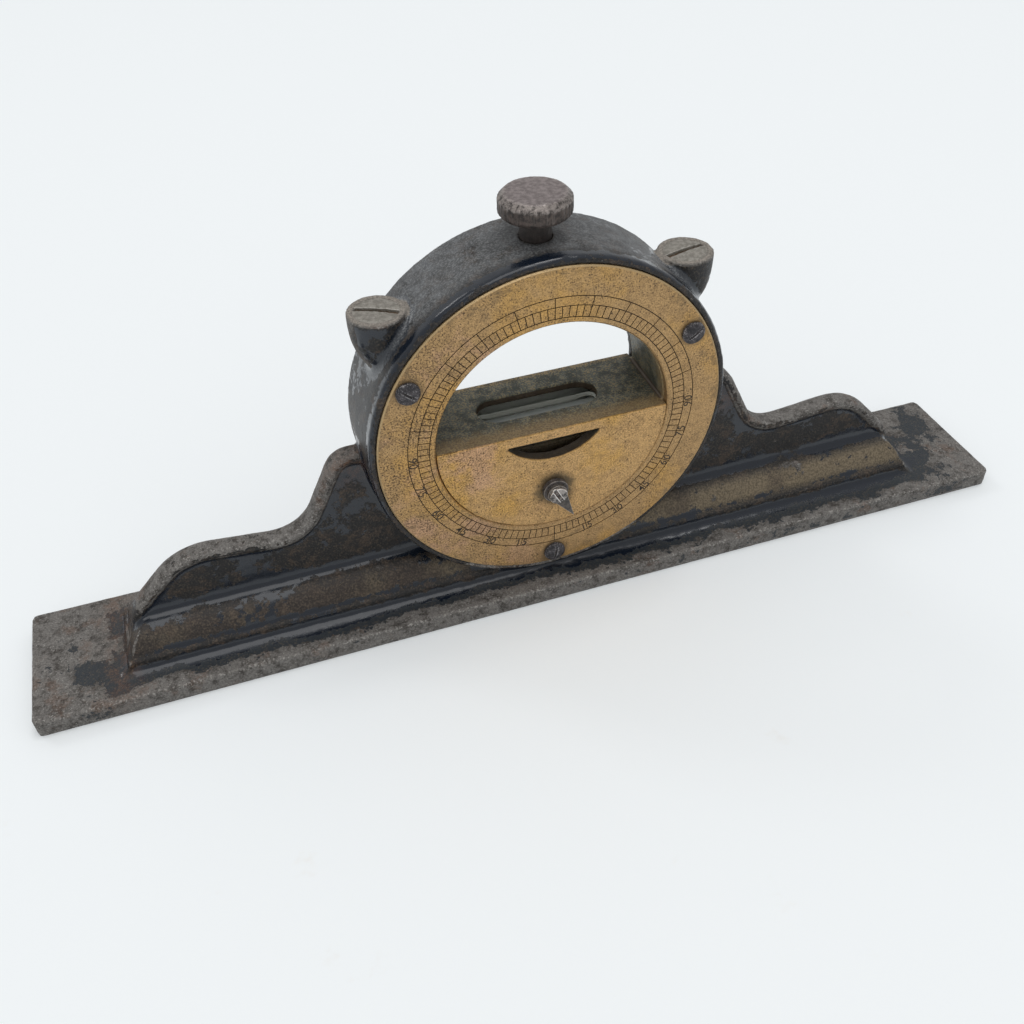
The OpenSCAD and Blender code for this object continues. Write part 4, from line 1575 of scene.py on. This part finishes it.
@dataclass
class Pointer:
    """The arrow with its collar and its screw."""

    bench: Bench
    swing: float = 28.0
    grain: float = 0.1 * MM
    head: Head = Head(
        radius=2.2 * MM,
        height=1.3 * MM,
        crown=0.55 * MM,
        slot_w=0.9 * MM,
        slot_d=0.8 * MM,
        shank_r=1.05 * MM,
        shank_l=4.5 * MM,
    )

    def build(self) -> None:
        """Ages the collar and the arrow, and makes the screw."""
        dark = Steel("pointer_steel", skin=(0.048, 0.044, 0.040), mottle=(0.10, 0.088, 0.078), wear=0.55)
        for node, name, body, finish in (
            ("pointer_collar", "arrow_collar", "drum", Steel("collar_steel", wear=0.6)),
            ("index_pointer", "arrow", "pointer", dark),
        ):
            piece = self.bench.copy_node(node, name)
            self.bench.age(piece, self.grain, pitting=0.02 * MM, lumps=1.2 * MM)
            hand_over(piece, finish.material(), body, "dark_steel", node)
        low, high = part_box("pointer_screw")
        middle = (low + high) / 2
        spot = seated((middle.x, low.y + self.head.height, middle.z), Axis.FRONT, self.swing + 90)
        piece = self.head.build(self.bench, "arrow_screw", spot)
        worn = Steel("arrow_screw_steel", mottle=(0.34, 0.31, 0.29), bright=(0.80, 0.77, 0.74), wear=1.0)
        hand_over(piece, worn.material(), "drum", "worn_steel", "pointer_screw")


# ------------------------------------------------------------------------------------------ studio
@dataclass(frozen=True)
class Lamp:
    """A square soft light."""

    name: str
    place: Point
    size: float
    power: float


@dataclass(frozen=True)
class Studio:
    """A pale floor, soft light and the photograph's viewpoint, in metres and degrees."""

    azimuth: float = -17.511
    elevation: float = 42.282
    roll: float = -1.887
    place: Point = (-65.709 * MM, -185.819 * MM, 193.817 * MM)
    lens: float = 36.48
    sensor: float = 36.0
    nearest: float = 5 * MM
    floor_size: float = 6.0
    floor: Colour = (0.900, 0.930, 0.942)
    stain: Colour = (0.80, 0.76, 0.70)
    sky: float = 0.57
    sky_colour: Colour = (0.98, 0.99, 1.0)
    glow: float = 0.04
    lamps: tuple[Lamp, ...] = (
        Lamp("overhead", (-0.35, -0.9, 3.1), 2.4, 29.0),
        Lamp("window", (0.80, 0.35, 3.4), 1.0, 15.0),
        Lamp("far_window", (-1.9, 2.4, 2.6), 0.8, 9.0),
    )

    def build(self) -> None:
        """Sets up the studio."""
        self.lay_floor()
        self.light()
        self.set_camera()
        bpy.context.scene.view_settings.view_transform = "Standard"

    def lay_floor(self) -> None:
        """Lays the floor that the tool stands on."""
        bpy.ops.object.select_all(action="DESELECT")
        bpy.ops.mesh.primitive_plane_add(size=self.floor_size)
        piece = bpy.context.object
        piece.name = "floor"
        p = Paint("pale_floor")
        smudges = p.over(p.noise(28 * MM, 5, 0.7), 0.62, 0.80) * p.over(p.y, 20 * MM, -60 * MM)
        rays = ("Camera", "Glossy", "Transmission")
        seen = sum(p.node("ShaderNodeLightPath", output=f"Is {kind} Ray") for kind in rays)
        p.finish(
            Base_Color=p.blend(smudges * 0.5, self.floor, self.stain),
            Roughness=0.9,
            Specular_IOR_Level=0.1,
            Emission_Color=p.shade(self.floor, p.clamp(seen) * self.glow),
            Emission_Strength=1.0,
        )
        piece.data.materials.append(p.material)

    def light(self) -> None:
        """Lights the scene from the sky and the lamps."""
        world = bpy.data.worlds.new("studio_sky")
        bpy.context.scene.world = world
        world.use_nodes = True
        background = world.node_tree.nodes["Background"]
        background.inputs["Color"].default_value = (*self.sky_colour, 1.0)
        background.inputs["Strength"].default_value = self.sky
        for lamp in self.lamps:
            data = bpy.data.lights.new(lamp.name, "AREA")
            data.energy = lamp.power
            data.size = lamp.size
            light = bpy.data.objects.new(lamp.name, data)
            bpy.context.scene.collection.objects.link(light)
            light.location = lamp.place
            light.rotation_euler = (-Vector(lamp.place)).to_track_quat("-Z", "Y").to_euler()

    def set_camera(self) -> None:
        """Sets the camera where the photograph was taken from."""
        azimuth, elevation, roll = (math.radians(a) for a in (self.azimuth, self.elevation, self.roll))
        level = math.cos(elevation)
        back = Vector((math.sin(azimuth) * level, -math.cos(azimuth) * level, math.sin(elevation)))
        right = (-back).cross(Vector((0, 0, 1))).normalized()
        up = right.cross(-back)
        turned_right = math.cos(roll) * right + math.sin(roll) * up
        turned_up = math.cos(roll) * up - math.sin(roll) * right
        data = bpy.data.cameras.new("viewpoint")
        data.lens = self.lens
        data.sensor_width = self.sensor
        data.clip_start = self.nearest
        camera = bpy.data.objects.new("viewpoint", data)
        bpy.context.scene.collection.objects.link(camera)
        turn = Matrix((turned_right, turned_up, back)).transposed().to_4x4()
        camera.matrix_world = Matrix.Translation(self.place) @ turn
        bpy.context.scene.camera = camera


def main() -> None:
    """Builds the tool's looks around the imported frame."""
    logging.basicConfig(level=logging.INFO, format="%(name)s: %(message)s")
    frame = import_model()
    bench = Bench(frame["nodes"])
    dial_low, dial_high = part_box("dial_plate")
    seat = Vector((0, dial_high.y, (dial_low.z + dial_high.z) / 2))
    dial_r = (dial_high.x - dial_low.x) / 2
    screws = DialScrews(bench, seat, dial_low.y)
    Casting(bench, seat, dial_r).build()
    Dial(bench, seat, dial_low.y, dial_r, tuple(screws.places())).build()
    screws.build()
    LugScrews(bench).build()
    Clamp(bench).build()
    LevelDrum(bench, seat, dial_low.y).build()
    Vial(bench).build()
    Pointer(bench).build()
    Studio().build()


if __name__ == "__main__":
    main()
